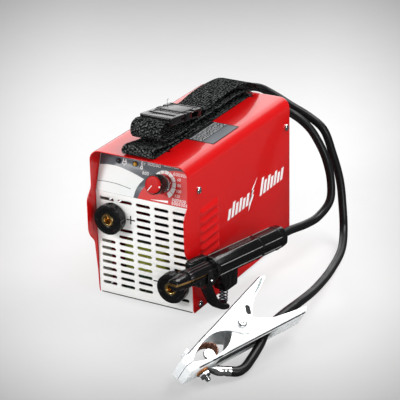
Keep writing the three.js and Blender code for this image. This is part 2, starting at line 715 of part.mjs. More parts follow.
function armChannel(halfWidth, handleEnd) {
  const plates = [-halfWidth, halfWidth - armSheet]
    .map((n) => alongZ(armPlate(handleEnd), n, n + armSheet, 5));
  const back = polygon([
    [jawEnd, backEdge(jawEnd)], [handleEnd - 6, backEdge(handleEnd - 6)],
    [handleEnd - 6, backEdge(handleEnd - 6) - armSheet], [jawEnd, backEdge(jawEnd) - armSheet]]);
  const jaw = polygon([
    [jawEnd - 1.5, 0.35], [-73, 0.35], [-73, backEdge(-73) - 0.5], [jawEnd - 1.5, backEdge(jawEnd) - 0.4]]);
  return join(...plates, alongZ(back, -halfWidth, halfWidth), alongZ(jaw, -halfWidth, halfWidth));
}

// A frame standing on the back of the channel at the contact bolt: its Y axis points outwards.
const boltU = -64;
function onBack(geometry, side) {
  const slope = Math.atan(armTaper);
  const placed = geometry.rotateZ(slope).translate(boltU, backEdge(boltU), 0);
  if (side > 0) return placed;
  return placed.applyMatrix4(new THREE.Matrix4().makeScale(1, -1, 1));
}

function hexagon(radius) {
  const corners = [];
  for (let i = 0; i < 6; i += 1) {
    const angle = (i * Math.PI) / 3;
    corners.push([radius * Math.cos(angle), radius * Math.sin(angle)]);
  }
  return polygon(corners);
}

// A prism of a plan shape standing along Y between two heights.
function standing(shape, low, high, segments) {
  return extrude(shape, high - low, segments).rotateX(-Math.PI / 2).translate(0, low, 0);
}

function upperArm() {
  const boltHead = onBack(standing(hexagon(5.6), -0.5, 4.2), 1);
  return join(armChannel(upperHalfWidth, upperHandleEnd), boltHead);
}
part('clamp_upper_arm', upperArm(), zinc, 0.25, 1, clamp);

function lowerArm() {
  const boltHole = onBack(standing(circle(0, 0, 3.3), -4, 4, 5), -1);
  const arm = armChannel(lowerHalfWidth, lowerHandleEnd)
    .applyMatrix4(new THREE.Matrix4().makeScale(1, -1, 1));
  const cableSlot = box(-4, -40, -5.6, 34, -19, 5.6);
  return cut(arm, boltHole, cableSlot);
}
part('clamp_lower_arm', lowerArm(), zinc, 0.25, 1, clamp);

function rivet() {
  const shank = alongZ(circle(0, 0, rivetRadius), -17, 17, 6);
  const heads = [-17.6, 15.4].map((n) => alongZ(circle(0, 0, 5.2), n, n + 2.2, 6));
  return join(shank, ...heads);
}
part('clamp_rivet', rivet(), zinc, 0.3, 1, clamp);
part('clamp_spring', helix(7.2, 1, 5, 16, 9).translate(0, 0, -8), zinc, 0.3, 1, clamp);

function clampBolt() {
  const shank = standing(circle(0, 0, 2.9), -6, 12, 5);
  const head = standing(hexagon(5.4), -6.2, -2);
  const nut = standing(hexagon(5.8), 2.6, 7.4);
  return onBack(join(shank, head, nut), -1);
}
part('clamp_bolt', clampBolt(), zinc, 0.25, 1, clamp);

// Cable lug: a flat eye under the nut that rolls into a crimped barrel.
const barrelAngle = THREE.MathUtils.degToRad(30);
function clampLug() {
  const eye = circle(0, 0, 7);
  eye.holes.push(circle(0, 0, 3.3));
  const neck = alongZ(polygon([[5.5, 0.4], [17, 0.4], [20, 4.5], [15, 6], [12, 2.2], [5.5, 2.2]]), -4.6, 4.6);
  const barrel = alongX(circle(0, 0, 5.2), 0, 14.6, 6).rotateZ(barrelAngle).translate(14, 6.4, 0);
  return onBack(join(standing(eye, 0.4, 2.2, 6), neck, barrel), -1);
}
part('clamp_lug', clampLug(), zinc, 0.3, 1, clamp);

// Copper braid between the two jaws.
function clampBraid() {
  const curve = [[-49, 10.2], [-40, 7.4], [-34.6, 1.4], [-37, -5], [-46, -8.6]];
  const band = ribbon(curve, 2, -6, 6, 12);
  const turn = new THREE.Matrix4().makeBasis(
    new THREE.Vector3(0, 0, 1), new THREE.Vector3(1, 0, 0), new THREE.Vector3(0, 1, 0));
  return band.applyMatrix4(turn);
}
part('clamp_braid', clampBraid(), copper, 0.45, 1, clamp);

// ---------- leads ----------
const leadPlugLength = 62;
function leadPlug() {
  return join(
    turned([[0, 0], [6.5, 0], [8, 12], [13, 22], [13, 44], [11.5, 46], [0, 46]], 14),
    turned([[0, 45], [4.5, 45], [4.5, leadPlugLength - 2], [3.5, leadPlugLength], [0, leadPlugLength]], 10));
}

// Each lead runs back along the right of the machine, rises behind it and hangs down with its plug.
const holderPlugTop = [8, 243, 76];
part('holder_cable', sweep([
  [91.9, 136.6, 46.0], [94.5, 158, 44.6], [99.4, 190, 40.5], [103.4, 212, 41.5], [107.8, 233, 54],
  [105, 241, 75],
  [97.4, 243, 101], [87.7, 243, 120], [75.4, 242, 136.5], [55, 238, 151], [30, 238, 154],
  [14, 241, 138],
  [9, 243, 108], [8, 243, holderPlugTop[2] + gap],
], leadRadius, 32, 4), blackRubber, 0.55, 0);
const holderPlug = part('holder_plug', leadPlug(), blackRubber, 0.6, 0);
holderPlug.position.set(...holderPlugTop);
holderPlug.rotation.x = -Math.PI / 2;

const clampPlugTop = [-46, 258, 84];
part('clamp_cable', sweep([
  [157.8, -97.8, 8.3], [162.4, -92.6, 6.8], [165.6, -84, 7.4], [166.4, -72, 11], [165.6, -50, 18],
  [163.6, -31.6, 25.6],
  [165.6, -14.6, 28.8], [168.6, 1.6, 31.4], [172.4, 18, 33.6], [171, 50, 30], [166.6, 78, 25],
  [150, 150, 12],
  [134.6, 210, 9.6], [122, 241, 20], [115.1, 252, 42.4], [108, 259, 70], [98.3, 259, 101.6],
  [87, 257.6, 130],
  [71.1, 255, 143], [48.4, 251, 155], [28.8, 247.4, 165.8], [8, 247.6, 171.6], [-20, 251, 163],
  [-39, 255, 138],
  [-46, 258, 108], [-46, 258, clampPlugTop[2] + gap],
], leadRadius, 60, 4), blackRubber, 0.55, 0);
const clampPlug = part('clamp_plug', leadPlug(), blackRubber, 0.6, 0);
clampPlug.position.set(...clampPlugTop);
clampPlug.rotation.x = -Math.PI / 2;

const [originX, originY] = footPlaces.front_left;
machine.position.set(-originX, -originY, 0);

export default machine;
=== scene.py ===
"""Looks of the stick welding inverter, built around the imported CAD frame.

Lengths in the code are millimetres, counted from the foot of the front panel's middle. Every mesh is moved
into the CAD frame and scaled to metres as it is made.
"""

import math

import bmesh
import bpy
import numpy as np
from mathutils import Matrix, Vector


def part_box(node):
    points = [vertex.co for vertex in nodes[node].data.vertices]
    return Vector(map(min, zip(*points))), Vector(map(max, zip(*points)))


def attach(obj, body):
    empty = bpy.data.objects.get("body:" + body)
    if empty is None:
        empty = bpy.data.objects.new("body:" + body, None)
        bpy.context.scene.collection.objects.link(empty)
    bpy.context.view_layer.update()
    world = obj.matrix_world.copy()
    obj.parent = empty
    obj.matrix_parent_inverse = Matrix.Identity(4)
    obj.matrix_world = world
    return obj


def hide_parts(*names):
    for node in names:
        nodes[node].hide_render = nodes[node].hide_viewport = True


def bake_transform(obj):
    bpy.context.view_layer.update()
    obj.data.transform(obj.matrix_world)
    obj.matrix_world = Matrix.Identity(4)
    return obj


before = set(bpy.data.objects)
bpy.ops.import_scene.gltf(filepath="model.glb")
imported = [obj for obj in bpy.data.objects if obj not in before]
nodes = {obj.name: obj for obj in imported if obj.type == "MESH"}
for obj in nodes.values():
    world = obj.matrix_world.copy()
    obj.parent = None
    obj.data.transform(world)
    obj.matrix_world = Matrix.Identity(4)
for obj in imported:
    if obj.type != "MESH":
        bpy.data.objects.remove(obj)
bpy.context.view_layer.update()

MM = 0.001
ROOT = "inverter"

# ---------- dimensions shared with the CAD model ----------
SIDE_X = 60.0
BODY_DEPTH = 225.0
BODY_TOP = 174.3
BODY_FOOT = 4.0
COVER_RADIUS = 12.0
SHEET = 1.0
PANEL_SHEET = 1.2
PANEL_HALF = 58.5
PANEL_FOOT = 5.5
FOLD_HEIGHT = 124.5
LEAN = math.radians(18)
SLOPE_LENGTH = 50.0
DIAL = (22.5, 21.9)
POWER_LED = (-34.7, 36.3)
FAULT_LED = (-14.0, 36.5)
LOUVRES = [64 + 10.3 * i for i in range(6)]
LOUVRE_Y = 36.0
SOCKETS = {"positive": (-38.0, 98.0), "negative": (38.0, 33.5)}
SCREWS = {"upper_front": (14.8, 142.0), "upper_rear": (216.0, 142.0), "lower_front": (12.5, 10.0)}
REAR_Y = 221.0
FAN = (5.0, 85.0)
SWITCH = (-30.0, 150.0)
GLAND = (-16.0, 26.0)
STRAP_LEFT = -20.0
STRAP_RIGHT = 18.0
WEBBING = 1.8

# Where the foot of the front panel's middle is in the CAD frame, in metres.
COVER_LOW, COVER_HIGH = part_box("cover")
DRAWN_FROM = Vector(((COVER_LOW.x + COVER_HIGH.x) / 2, COVER_HIGH.y - BODY_DEPTH * MM, 0))


# ---------- solids: (points, faces) in millimetres ----------
def moved(solid, matrix):
    points, faces = solid
    turned = np.asarray(points, float) @ np.array(matrix.to_3x3()).T + np.array(matrix.translation)
    return turned, faces


def shifted(solid, x=0.0, y=0.0, z=0.0):
    return moved(solid, Matrix.Translation((x, y, z)))


def merged(*solids):
    points, faces, start = [], [], 0
    for solid_points, solid_faces in solids:
        points.append(np.asarray(solid_points, float))
        faces.extend([tuple(i + start for i in face) for face in solid_faces])
        start += len(solid_points)
    return np.vstack(points), faces


def basis(x_axis, y_axis, z_axis, origin=(0, 0, 0)):
    """The matrix whose columns are the three axes, with an origin."""
    rows = zip(x_axis, y_axis, z_axis, origin)
    return Matrix([list(row) for row in rows] + [[0, 0, 0, 1]])


XZ = basis((1, 0, 0), (0, 0, 1), (0, 1, 0))
YZ = basis((0, 1, 0), (0, 0, 1), (1, 0, 0))
SLOPE = basis(
    (1, 0, 0), (0, math.sin(LEAN), math.cos(LEAN)), (0, -math.cos(LEAN), math.sin(LEAN)),
    (0, 0, FOLD_HEIGHT)
)


def in_metres(x, y, z, at=Matrix.Identity(4)):
    """A place in the CAD frame, in metres, of a point in the code's own millimetres."""
    return at @ Vector((x, y, z)) * MM + DRAWN_FROM


def around(count):
    """Evenly spaced angles of a full turn."""
    return np.linspace(0, 2 * math.pi, count + 1)[:-1]


def grid_faces(rows, columns, closed_columns=False, closed_rows=False, skip=()):
    faces = []
    last_row = rows if closed_rows else rows - 1
    last_column = columns if closed_columns else columns - 1
    for i in range(last_row):
        for j in range(last_column):
            if (i, j) in skip:
                continue
            a, b = i * columns + j, i * columns + (j + 1) % columns
            c, d = ((i + 1) % rows) * columns + (j + 1) % columns, ((i + 1) % rows) * columns + j
            faces.append((a, b, c, d))
    return faces


def lathe(profile, segments=48, wobble=None):
    """Turns [radius, height] points about the Y axis. wobble(angle, index) scales a ring's radius."""
    points, rings = [], []
    for index, (radius, height) in enumerate(profile):
        if radius < 1e-6:
            rings.append([len(points)])
            points.append((0, height, 0))
            continue
        ring = []
        for k in range(segments):
            angle = 2 * math.pi * k / segments
            r = radius * (wobble(angle, index) if wobble else 1)
            ring.append(len(points))
            points.append((r * math.cos(angle), height, r * math.sin(angle)))
        rings.append(ring)
    faces = []
    for low, high in zip(rings, rings[1:]):
        for k in range(segments):
            m = (k + 1) % segments
            if len(low) == 1 and len(high) == 1:
                continue
            if len(low) == 1:
                faces.append((low[0], high[k], high[m]))
            elif len(high) == 1:
                faces.append((low[k], high[0], low[m]))
            else:
                faces.append((low[k], high[k], high[m], low[m]))
    return np.array(points), faces


def loft(rings):
    """Joins rings of the same number of points and caps both ends."""
    count = len(rings[0])
    points = np.vstack([np.asarray(ring, float) for ring in rings])
    faces = grid_faces(len(rings), count, closed_columns=True)
    faces.append(tuple(range(count)))
    faces.append(tuple(reversed(range(len(points) - count, len(points)))))
    return points, faces


def arc(x, y, radius, start, end, steps=8):
    angles = np.radians(np.linspace(start, end, steps + 1))
    return [(x + radius * math.cos(a), y + radius * math.sin(a)) for a in angles]


def circle(x, y, radius, steps=48):
    return arc(x, y, radius, 0, 360, steps)[:-1]


def rectangle(x_low, y_low, x_high, y_high, radius=0.0, steps=5):
    if radius <= 0:
        return [(x_low, y_low), (x_high, y_low), (x_high, y_high), (x_low, y_high)]
    return (
        arc(x_high - radius, y_low + radius, radius, -90, 0, steps)
        + arc(x_high - radius, y_high - radius, radius, 0, 90, steps)
        + arc(x_low + radius, y_high - radius, radius, 90, 180, steps)
        + arc(x_low + radius, y_low + radius, radius, 180, 270, steps)
    )


def stadium(x, y, length, height, steps=10):
    r = height / 2
    return (arc(x + length / 2 - r, y, r, -90, 90, steps) + arc(x - length / 2 + r, y, r, 90, 270, steps))


def round_topped(x_low, y_low, x_high, y_high, radius):
    corners = arc(x_high - radius, y_high - radius, radius, 0, 90, 10)
    corners += arc(x_low + radius, y_high - radius, radius, 90, 180, 10)
    return [(x_low, y_low), (x_high, y_low)] + corners


def round_slot(u, w, length, width, lean_degrees):
    """A stadium turned by an angle in the plane."""
    lean = math.radians(lean_degrees)
    across, up = math.cos(lean), math.sin(lean)
    return [(u + x * across - y * up, w + x * up + y * across) for x, y in stadium(0, 0, length, width, 8)]


def in_scene(name, data):
    """A new object of some data, linked to the scene."""
    obj = bpy.data.objects.new(name, data)
    bpy.context.scene.collection.objects.link(obj)
    return obj


def solid_of(obj):
    """Points and faces of an object as it shows."""
    shown = obj.evaluated_get(bpy.context.evaluated_depsgraph_get())
    mesh = shown.to_mesh()
    points = np.array([v.co[:] for v in mesh.vertices], float).reshape(-1, 3)
    faces = [tuple(p.vertices) for p in mesh.polygons]
    shown.to_mesh_clear()
    return points, faces


def solid_of_curve(curve):
    """Points and faces of a curve, which is used up."""
    holder = in_scene(curve.name, curve)
    solid = solid_of(holder)
    bpy.data.objects.remove(holder)
    bpy.data.curves.remove(curve)
    return solid


def solid_of_bmesh(bm):
    """Points and faces of a bmesh, which is used up."""
    bm.verts.index_update()
    points = np.array([v.co[:] for v in bm.verts], float)
    faces = [tuple(v.index for v in face.verts) for face in bm.faces]
    bm.free()
    return points, faces


def prism(outline, low, high, holes=(), bevel=0.2, bevel_steps=2):
    """A plate of an outline in (x, y) between two heights, with rounded edges."""
    curve = bpy.data.curves.new("outline", "CURVE")
    curve.dimensions = "2D"
    curve.fill_mode = "BOTH"
    curve.extrude = (high - low) / 2 - bevel
    curve.bevel_depth = bevel
    curve.bevel_resolution = bevel_steps - 1
    curve.offset = -bevel
    for points in [outline, *holes]:
        spline = curve.splines.new("POLY")
        spline.points.add(len(points) - 1)
        for target, (x, y) in zip(spline.points, points):
            target.co = (x, y, 0, 1)
        spline.use_cyclic_u = True
    points, faces = solid_of_curve(curve)
    points[:, 2] += (high + low) / 2
    return points, faces


def ink(outline, low, high, holes=()):
    """A thin printed layer with sharp edges."""
    return prism(outline, low, high, holes, bevel=0.0, bevel_steps=1)


def side_plate(outline, side, near, far, holes=(), bevel=0.2):
    """A plate of an outline in (y, z) on one side of the middle, between two distances from it."""
    low, high = sorted((side * near, side * far))
    return moved(prism(outline, low, high, holes, bevel), YZ)


def rounded_box(x_low, y_low, z_low, x_high, y_high, z_high, radius=0.6, segments=3):
    bm = bmesh.new()
    bmesh.ops.create_cube(bm, size=1)
    size = Vector((x_high - x_low, y_high - y_low, z_high - z_low))
    middle = Vector((x_high + x_low, y_high + y_low, z_high + z_low)) / 2
    for v in bm.verts:
        v.co = Vector(a * b for a, b in zip(v.co, size)) + middle
    bmesh.ops.bevel(
        bm, geom=bm.edges[:], offset=radius, segments=segments, profile=0.5, affect="EDGES",
        clamp_overlap=True
    )
    return solid_of_bmesh(bm)


def box_solid(x_low, y_low, z_low, x_high, y_high, z_high):
    """A sharp-edged block, used only to cut with."""
    corners = [(x, y, z) for x in (x_low, x_high) for y in (y_low, y_high) for z in (z_low, z_high)]
    faces = [(0, 1, 3, 2), (4, 6, 7, 5), (0, 4, 5, 1), (2, 3, 7, 6), (0, 2, 6, 4), (1, 5, 7, 3)]
    return np.array(corners, float), faces


def path_frames(points, start_normal=(0.0, 0.0, 1.0)):
    """Tangents and two cross directions that don't twist along a path."""
    points = np.asarray(points, float)
    tangents = np.gradient(points, axis=0)
    tangents /= np.linalg.norm(tangents, axis=1)[:, None]
    normal = np.array(start_normal, float)
    if abs(normal @ tangents[0]) > 0.9:
        normal = np.array((1.0, 0.0, 0.0))
    normals = []
    for tangent in tangents:
        normal = normal - (normal @ tangent) * tangent
        normal /= np.linalg.norm(normal)
        normals.append(normal)
    normals = np.array(normals)
    return tangents, normals, np.cross(tangents, normals)


def tube(points, radius, sides=20):
    """A round bar along a path. radius is one number or one per point."""
    points = np.asarray(points, float)
    radii = np.broadcast_to(radius, (len(points),))
    _, normals, sideways = path_frames(points)
    angles = 2 * np.pi * np.arange(sides) / sides
    rings = [
        p + r * (np.cos(angles)[:, None] * n + np.sin(angles)[:, None] * s) for p, r, n,
        s in zip(points, radii, normals, sideways)
    ]
    return loft(rings)


def smooth_path(points, step=2.0):
    """Centripetal Catmull-Rom curve through the points, sampled at about an even step."""
    p = [np.asarray(q, float) for q in points]
    p = [2 * p[0] - p[1]] + p + [2 * p[-1] - p[-2]]
    dense = []
    for i in range(1, len(p) - 2):
        p0, p1, p2, p3 = p[i - 1 : i + 3]
        d0, d1, d2 = [max(np.linalg.norm(b - a) ** 0.5, 1e-4) for a, b in ((p0, p1), (p1, p2), (p2, p3))]
        m1 = (p1 - p0) / d0 - (p2 - p0) / (d0 + d1) + (p2 - p1) / d1
        m2 = (p2 - p1) / d1 - (p3 - p1) / (d1 + d2) + (p3 - p2) / d2
        m1, m2 = m1 * d1, m2 * d1
        for t in np.linspace(0, 1, 24, endpoint=False):
            t2, t3 = t * t, t * t * t
            dense.append(
                (2 * t3 - 3 * t2 + 1) * p1 + (t3 - 2 * t2 + t) * m1 + (3 * t2 - 2 * t3) * p2 + (t3 - t2)
                * m2
            )
    dense.append(p[-2])
    return resampled(np.array(dense), step)


def resampled(points, step):
    points = np.asarray(points, float)
    along = np.concatenate([[0], np.cumsum(np.linalg.norm(np.diff(points, axis=0), axis=1))])
    count = max(int(round(along[-1] / step)), 2) + 1
    wanted = np.linspace(0, along[-1], count)
    return np.stack([np.interp(wanted, along, points[:, k]) for k in range(points.shape[1])], axis=1)


def loop_tube(points, radius, sides):
    """A round bar along a closed path."""
    points = np.asarray(points, float)
    centre = points.mean(axis=0)
    rings = []
    count = len(points)
    for k in range(count):
        tangent = points[(k + 1) % count] - points[k - 1]
        tangent /= np.linalg.norm(tangent)
        out = points[k] - centre
        out -= (out @ tangent) * tangent
        out /= np.linalg.norm(out)
        side = np.cross(tangent, out)
        angles = 2 * np.pi * np.arange(sides) / sides
        rings.append([points[k] + radius * (math.cos(a) * out + math.sin(a) * side) for a in angles])
    return np.vstack(rings), grid_faces(count, sides, closed_columns=True, closed_rows=True)


def ring_path(x, y, z, radius, count, plane=((1, 0, 0), (0, 0, 1))):
    """Points of a circle about a centre, in the plane of two directions."""
    centre, first, second = np.array([(x, y, z), *plane], float)
    return [centre + radius * (math.cos(a) * first + math.sin(a) * second) for a in around(count)]


def band_solid(middle, outward, lift, height):
    """A closed band about a surface of middle points, and the pattern's height at every point."""
    raised = outward[:, None, :] * lift[:, :, None]
    points = np.concatenate([middle + raised, (middle - raised)[:, ::-1][:, 1:-1]], axis=1)
    heights = np.concatenate([height, height[:, ::-1][:, 1:-1]], axis=1)
    return loft(points), heights.reshape(-1)


def outward_of(path):
    """The upward direction across each point of a path that runs in the (y, z) plane."""
    tangents, _, _ = path_frames(path)
    return np.stack([np.zeros(len(path)), -tangents[:, 2], tangents[:, 1]], axis=1)


# ---------- solids made with modifiers ----------
# Pieces of a cut with fewer faces than this are scraps.
SCRAP_FACES = 20
# Edges that turn by more degrees than this are shaded as sharp.
SHARP_ANGLE = 38


def new_mesh(name, points, faces):
    mesh = bpy.data.meshes.new(name)
    mesh.from_pydata([tuple(p) for p in points], [], faces)
    return mesh


def temporary(solid):
    """A working object of a solid with its faces turned outwards."""
    mesh = new_mesh("working", *solid)
    bm = bmesh.new()
    bm.from_mesh(mesh)
    bmesh.ops.remove_doubles(bm, verts=bm.verts, dist=0.002)
    bmesh.ops.recalc_face_normals(bm, faces=bm.faces)
    bm.to_mesh(mesh)
    bm.free()
    return in_scene("working", mesh)


def carved(solid, *cutters, crossing=False):
    """The solid with the cutters taken away. crossing is for a sheet whose own walls meet somewhere."""
    obj = temporary(solid)
    tools = [temporary(cutter) for cutter in cutters]
    for tool in tools:
        cut = obj.modifiers.new("cut", "BOOLEAN")
        cut.object = tool
        cut.operation = "DIFFERENCE"
        cut.solver = "EXACT"
        cut.use_self = crossing
    result = solid_of(obj)
    for used in (obj, *tools):
        bpy.data.objects.remove(used)
    return result


def thickened(surface, thickness):
    """A sheet grown inwards from its outer surface."""
    obj = temporary(surface)
    sheet = obj.modifiers.new("sheet", "SOLIDIFY")
    sheet.thickness = thickness
    sheet.offset = -1
    sheet.use_even_offset = True
    result = solid_of(obj)
    bpy.data.objects.remove(obj)
    return result


def face_groups(bm):
    """Connected groups of faces."""
    waiting = set(bm.faces)
    while waiting:
        group = [waiting.pop()]
        for face in group:
            for edge in face.edges:
                near = [other for other in edge.link_faces if other in waiting]
                waiting.difference_update(near)
                group += near
        yield group


def drop_loose(bm):
    bmesh.ops.delete(bm, geom=[v for v in bm.verts if not v.link_faces], context="VERTS")


def without_scraps(solid):
    """Drops the loose scraps that a crossing cut leaves, and closes the gaps under them."""
    mesh = new_mesh("working", *solid)
    bm = bmesh.new()
    bm.from_mesh(mesh)
    bpy.data.meshes.remove(mesh)
    bmesh.ops.remove_doubles(bm, verts=bm.verts, dist=0.01)
    scraps = [face for group in list(face_groups(bm)) if len(group) < SCRAP_FACES for face in group]
    bmesh.ops.delete(bm, geom=scraps, context="FACES")
    drop_loose(bm)
    bmesh.ops.holes_fill(bm, edges=[edge for edge in bm.edges if edge.is_boundary], sides=0)
    return solid_of_bmesh(bm)


# ---------- pieces ----------
def store(mesh, name, numbers):
    """Keeps one number per point of a mesh, for a material to read."""
    layer = mesh.attributes.new(name, "FLOAT", "POINT")
    layer.data.foreach_set("value", np.asarray(numbers, np.float32))


def piece(
    name, solid, material, body=ROOT, slot=None, replaces=(), bevel=0.0, bevel_angle=30, sharp=SHARP_ANGLE,
    weld=0.002, weave_heights=None
):
    """Makes one shown object of a solid: welds it, rounds its sharp edges and lets it ride on a body."""
    points, faces = solid
    mesh = new_mesh(name, np.asarray(points, float) * MM + np.array(DRAWN_FROM), faces)
    if weave_heights is not None:
        store(mesh, "weave", weave_heights)
    bm = bmesh.new()
    bm.from_mesh(mesh)
    if weld:
        bmesh.ops.remove_doubles(bm, verts=bm.verts, dist=weld * MM)
    drop_loose(bm)
    bmesh.ops.recalc_face_normals(bm, faces=bm.faces)
    if bevel > 0:
        limit = math.radians(bevel_angle)
        edges = [e for e in bm.edges if len(e.link_faces) == 2 and e.calc_face_angle(0) > limit]
        bmesh.ops.bevel(
            bm, geom=edges, offset=bevel * MM, segments=2, profile=0.6, affect="EDGES", clamp_overlap=True
        )
    mark_sharp(bm, sharp)
    bm.to_mesh(mesh)
    bm.free()
    obj = in_scene(name, mesh)
    obj.data.materials.append(material)
    if body:
        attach(obj, body)
    if replaces:
        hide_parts(*replaces)
    return obj


def mark_sharp(bm, degrees):
    limit = math.radians(degrees)
    for face in bm.faces:
        face.smooth = True
    for edge in bm.edges:
        edge.smooth = not (len(edge.link_faces) == 2 and edge.calc_face_angle(0) > limit)


def bake_modifiers(obj, sharp=SHARP_ANGLE):
    """Replaces an object's mesh by the result of its modifiers."""
    depsgraph = bpy.context.evaluated_depsgraph_get()
    mesh = bpy.data.meshes.new_from_object(obj.evaluated_get(depsgraph))
    obj.modifiers.clear()
    obj.data = mesh
    bm = bmesh.new()
    bm.from_mesh(mesh)
    drop_loose(bm)
    mark_sharp(bm, sharp)
    bm.to_mesh(mesh)
    bm.free()
    return obj


def smooth_cad(name, material, width=0.4, segments=2):
    """Gives a CAD node that keeps its shape a new material and slightly rounded edges."""
    obj = nodes[name]
    obj.data.materials.clear()
    obj.data.materials.append(material)
    if width > 0:
        edge = obj.modifiers.new("edges", "BEVEL")
        edge.width = width * MM
        edge.segments = segments
        edge.limit_method = "ANGLE"
        edge.angle_limit = math.radians(40)


# ---------- materials ----------
class Nodes:
    """A short way to write a material's node tree."""

    def __init__(self, name):
        self.material = bpy.data.materials.new(name)
        self.material.use_nodes = True
        self.tree = self.material.node_tree
        self.shader = self.tree.nodes["Principled BSDF"]
        self.place = self.tree.nodes.new("ShaderNodeTexCoord").outputs["Object"]

    def add(self, kind, **settings):
        node = self.tree.nodes.new(kind)
        for key, value in settings.items():
            setattr(node, key, value)
        return node

    def join(self, source, target):
        self.tree.links.new(source, target)

    def feed(self, node, **inputs):
        for key, value in inputs.items():
            socket = node.inputs[key.replace("_", " ")]
            if isinstance(value, bpy.types.NodeSocket):
                self.join(value, socket)
            else:
                socket.default_value = value
        return node

    def stretched(self, x, y, z):
        """The object's own coordinates, scaled along each axis."""
        node = self.add("ShaderNodeVectorMath", operation="MULTIPLY")
        self.join(self.place, node.inputs[0])
        node.inputs[1].default_value = (x, y, z)
        return node.outputs[0]

    def noise(self, size, detail=3.0, place=None, roughness=0.55):
        """Noise from 0 to 1 with features of about a size in millimetres."""
        node = self.add("ShaderNodeTexNoise")
        self.feed(
            node, Vector=place or self.place, Scale=1.0 / (size * MM), Detail=detail, Roughness=roughness
        )
        return node.outputs["Fac"]

    def spread(self, value, low, high, from_low=0.0, from_high=1.0):
        """Maps a range of values onto low to high."""
        node = self.add("ShaderNodeMapRange")
        self.feed(node, Value=value)
        for key, number in (
            ("From Min", from_low), ("From Max", from_high), ("To Min", low), ("To Max", high)
        ):
            node.inputs[key].default_value = number
        return node.outputs["Result"]

    def mix(self, share, first, second):
        node = self.add("ShaderNodeMix", data_type="RGBA")
        for index, value in ((0, share), (6, first), (7, second)):
            if isinstance(value, bpy.types.NodeSocket):
                self.join(value, node.inputs[index])
            elif index == 0:
                node.inputs[index].default_value = value
            else:
                node.inputs[index].default_value = (*value, 1)
        return node.outputs[2]

    def maths(self, operation, first, second=0.0):
        node = self.add("ShaderNodeMath", operation=operation)
        for index, value in ((0, first), (1, second)):
            if isinstance(value, bpy.types.NodeSocket):
                self.join(value, node.inputs[index])
            else:
                node.inputs[index].default_value = value
        return node.outputs["Value"]

    def bump(self, height, depth, strength=1.0):
        node = self.add("ShaderNodeBump")
        self.feed(node, Height=height, Distance=depth * MM, Strength=strength)
        return node.outputs["Normal"]

    def attribute(self, name):
        return self.add("ShaderNodeAttribute", attribute_name=name).outputs["Fac"]

    def edges(self):
        """About 1 on outer edges, which are made paler as wear and painted highlight, and 0 elsewhere."""
        point = self.add("ShaderNodeNewGeometry").outputs["Pointiness"]
        return self.spread(point, 0.0, 1.0, 0.52, 0.6)

    def surface(self, color, roughness, normal):
        """Feeds the three inputs that every surface has."""
        self.feed(self.shader, Base_Color=color, Roughness=roughness, Normal=normal)


def scaled(color, share):
    return tuple(min(c * share, 1.0) for c in color)


def finish(
    name, color, roughness, metallic=0.0, coat=0.0, mottle=0.08, mottle_size=14.0, grain=0.03,
    grain_size=0.5, smudge=0.08, edge_wear_and_highlight=0.0, edge_wear_and_highlight_color=(0.7, 0.7, 0.7), specular=0.5
):
    """Moulded, painted or metal surface: colour mottle, smudged roughness, fine grain and paler outer edges,
    partly edge wear and partly painted highlight.
    """
    n = Nodes(name)
    base = n.mix(n.noise(mottle_size, 4), scaled(color, 1 - mottle), scaled(color, 1 + mottle))
    if edge_wear_and_highlight > 0:
        # Paler outer edges: partly rubbed wear, partly a painted edge highlight.
        worn_and_highlit_edges = n.maths("MULTIPLY", n.edges(), n.spread(n.noise(3.0, 5), 0, edge_wear_and_highlight, 0.45, 0.6))
        base = n.mix(worn_and_highlit_edges, base, edge_wear_and_highlight_color)
    smudged = n.spread(n.noise(22.0, 5), roughness - smudge, roughness + smudge, 0.3, 0.7)
    n.surface(base, smudged, n.bump(n.noise(grain_size, 2), grain, 0.6))
    n.feed(n.shader, Metallic=metallic, Coat_Weight=coat, Coat_Roughness=0.06, Specular_IOR_Level=specular)
    return n.material


RED = (0.56, 0.003, 0.004)
red_paint = finish(
    "red_paint", RED, 0.3, coat=0.7, mottle=0.02, mottle_size=60, grain=0.006, grain_size=1.2, smudge=0.02,
    specular=0.2
)
white_paint = finish(
    "white_paint", (0.83, 0.83, 0.81), 0.34, coat=0.15, mottle=0.02, mottle_size=30, grain=0.03,
    grain_size=0.5
)
# Its paler edges are partly wear and partly a painted edge highlight.
black_plastic = finish(
    "black_plastic", (0.005, 0.005, 0.0055), 0.17, mottle=0.15, grain=0.008, smudge=0.04, edge_wear_and_highlight=0.2,
    edge_wear_and_highlight_color=(0.12, 0.12, 0.12), specular=0.33
)
# Pale grey with coarse dotted mottle that paints the highlights along the holder's rails.
painted_highlight_plastic = finish("painted_highlight_plastic", (0.2, 0.205, 0.2), 0.25, mottle=0.7, mottle_size=3)
satin_plastic = finish(
    "satin_plastic", (0.009, 0.01, 0.011), 0.3, mottle=0.12, grain=0.03, grain_size=0.35, smudge=0.06
)
rubber = finish(
    "rubber", (0.008, 0.008, 0.009), 0.34, mottle=0.15, mottle_size=9, grain=0.02, grain_size=0.5,
    specular=0.22
)
red_plastic = finish(
    "red_plastic", (0.46, 0.006, 0.006), 0.42, mottle=0.03, grain=0.01, smudge=0.05, specular=0.15
)
zinc = finish(
    "zinc", (0.82, 0.84, 0.85), 0.2, metallic=1.0, mottle=0.05, mottle_size=18, grain=0.02, grain_size=1.2,
    smudge=0.08
)
steel = finish(
    "steel", (0.6, 0.61, 0.62), 0.3, metallic=1.0, mottle=0.1, mottle_size=6, grain=0.02, smudge=0.1
)
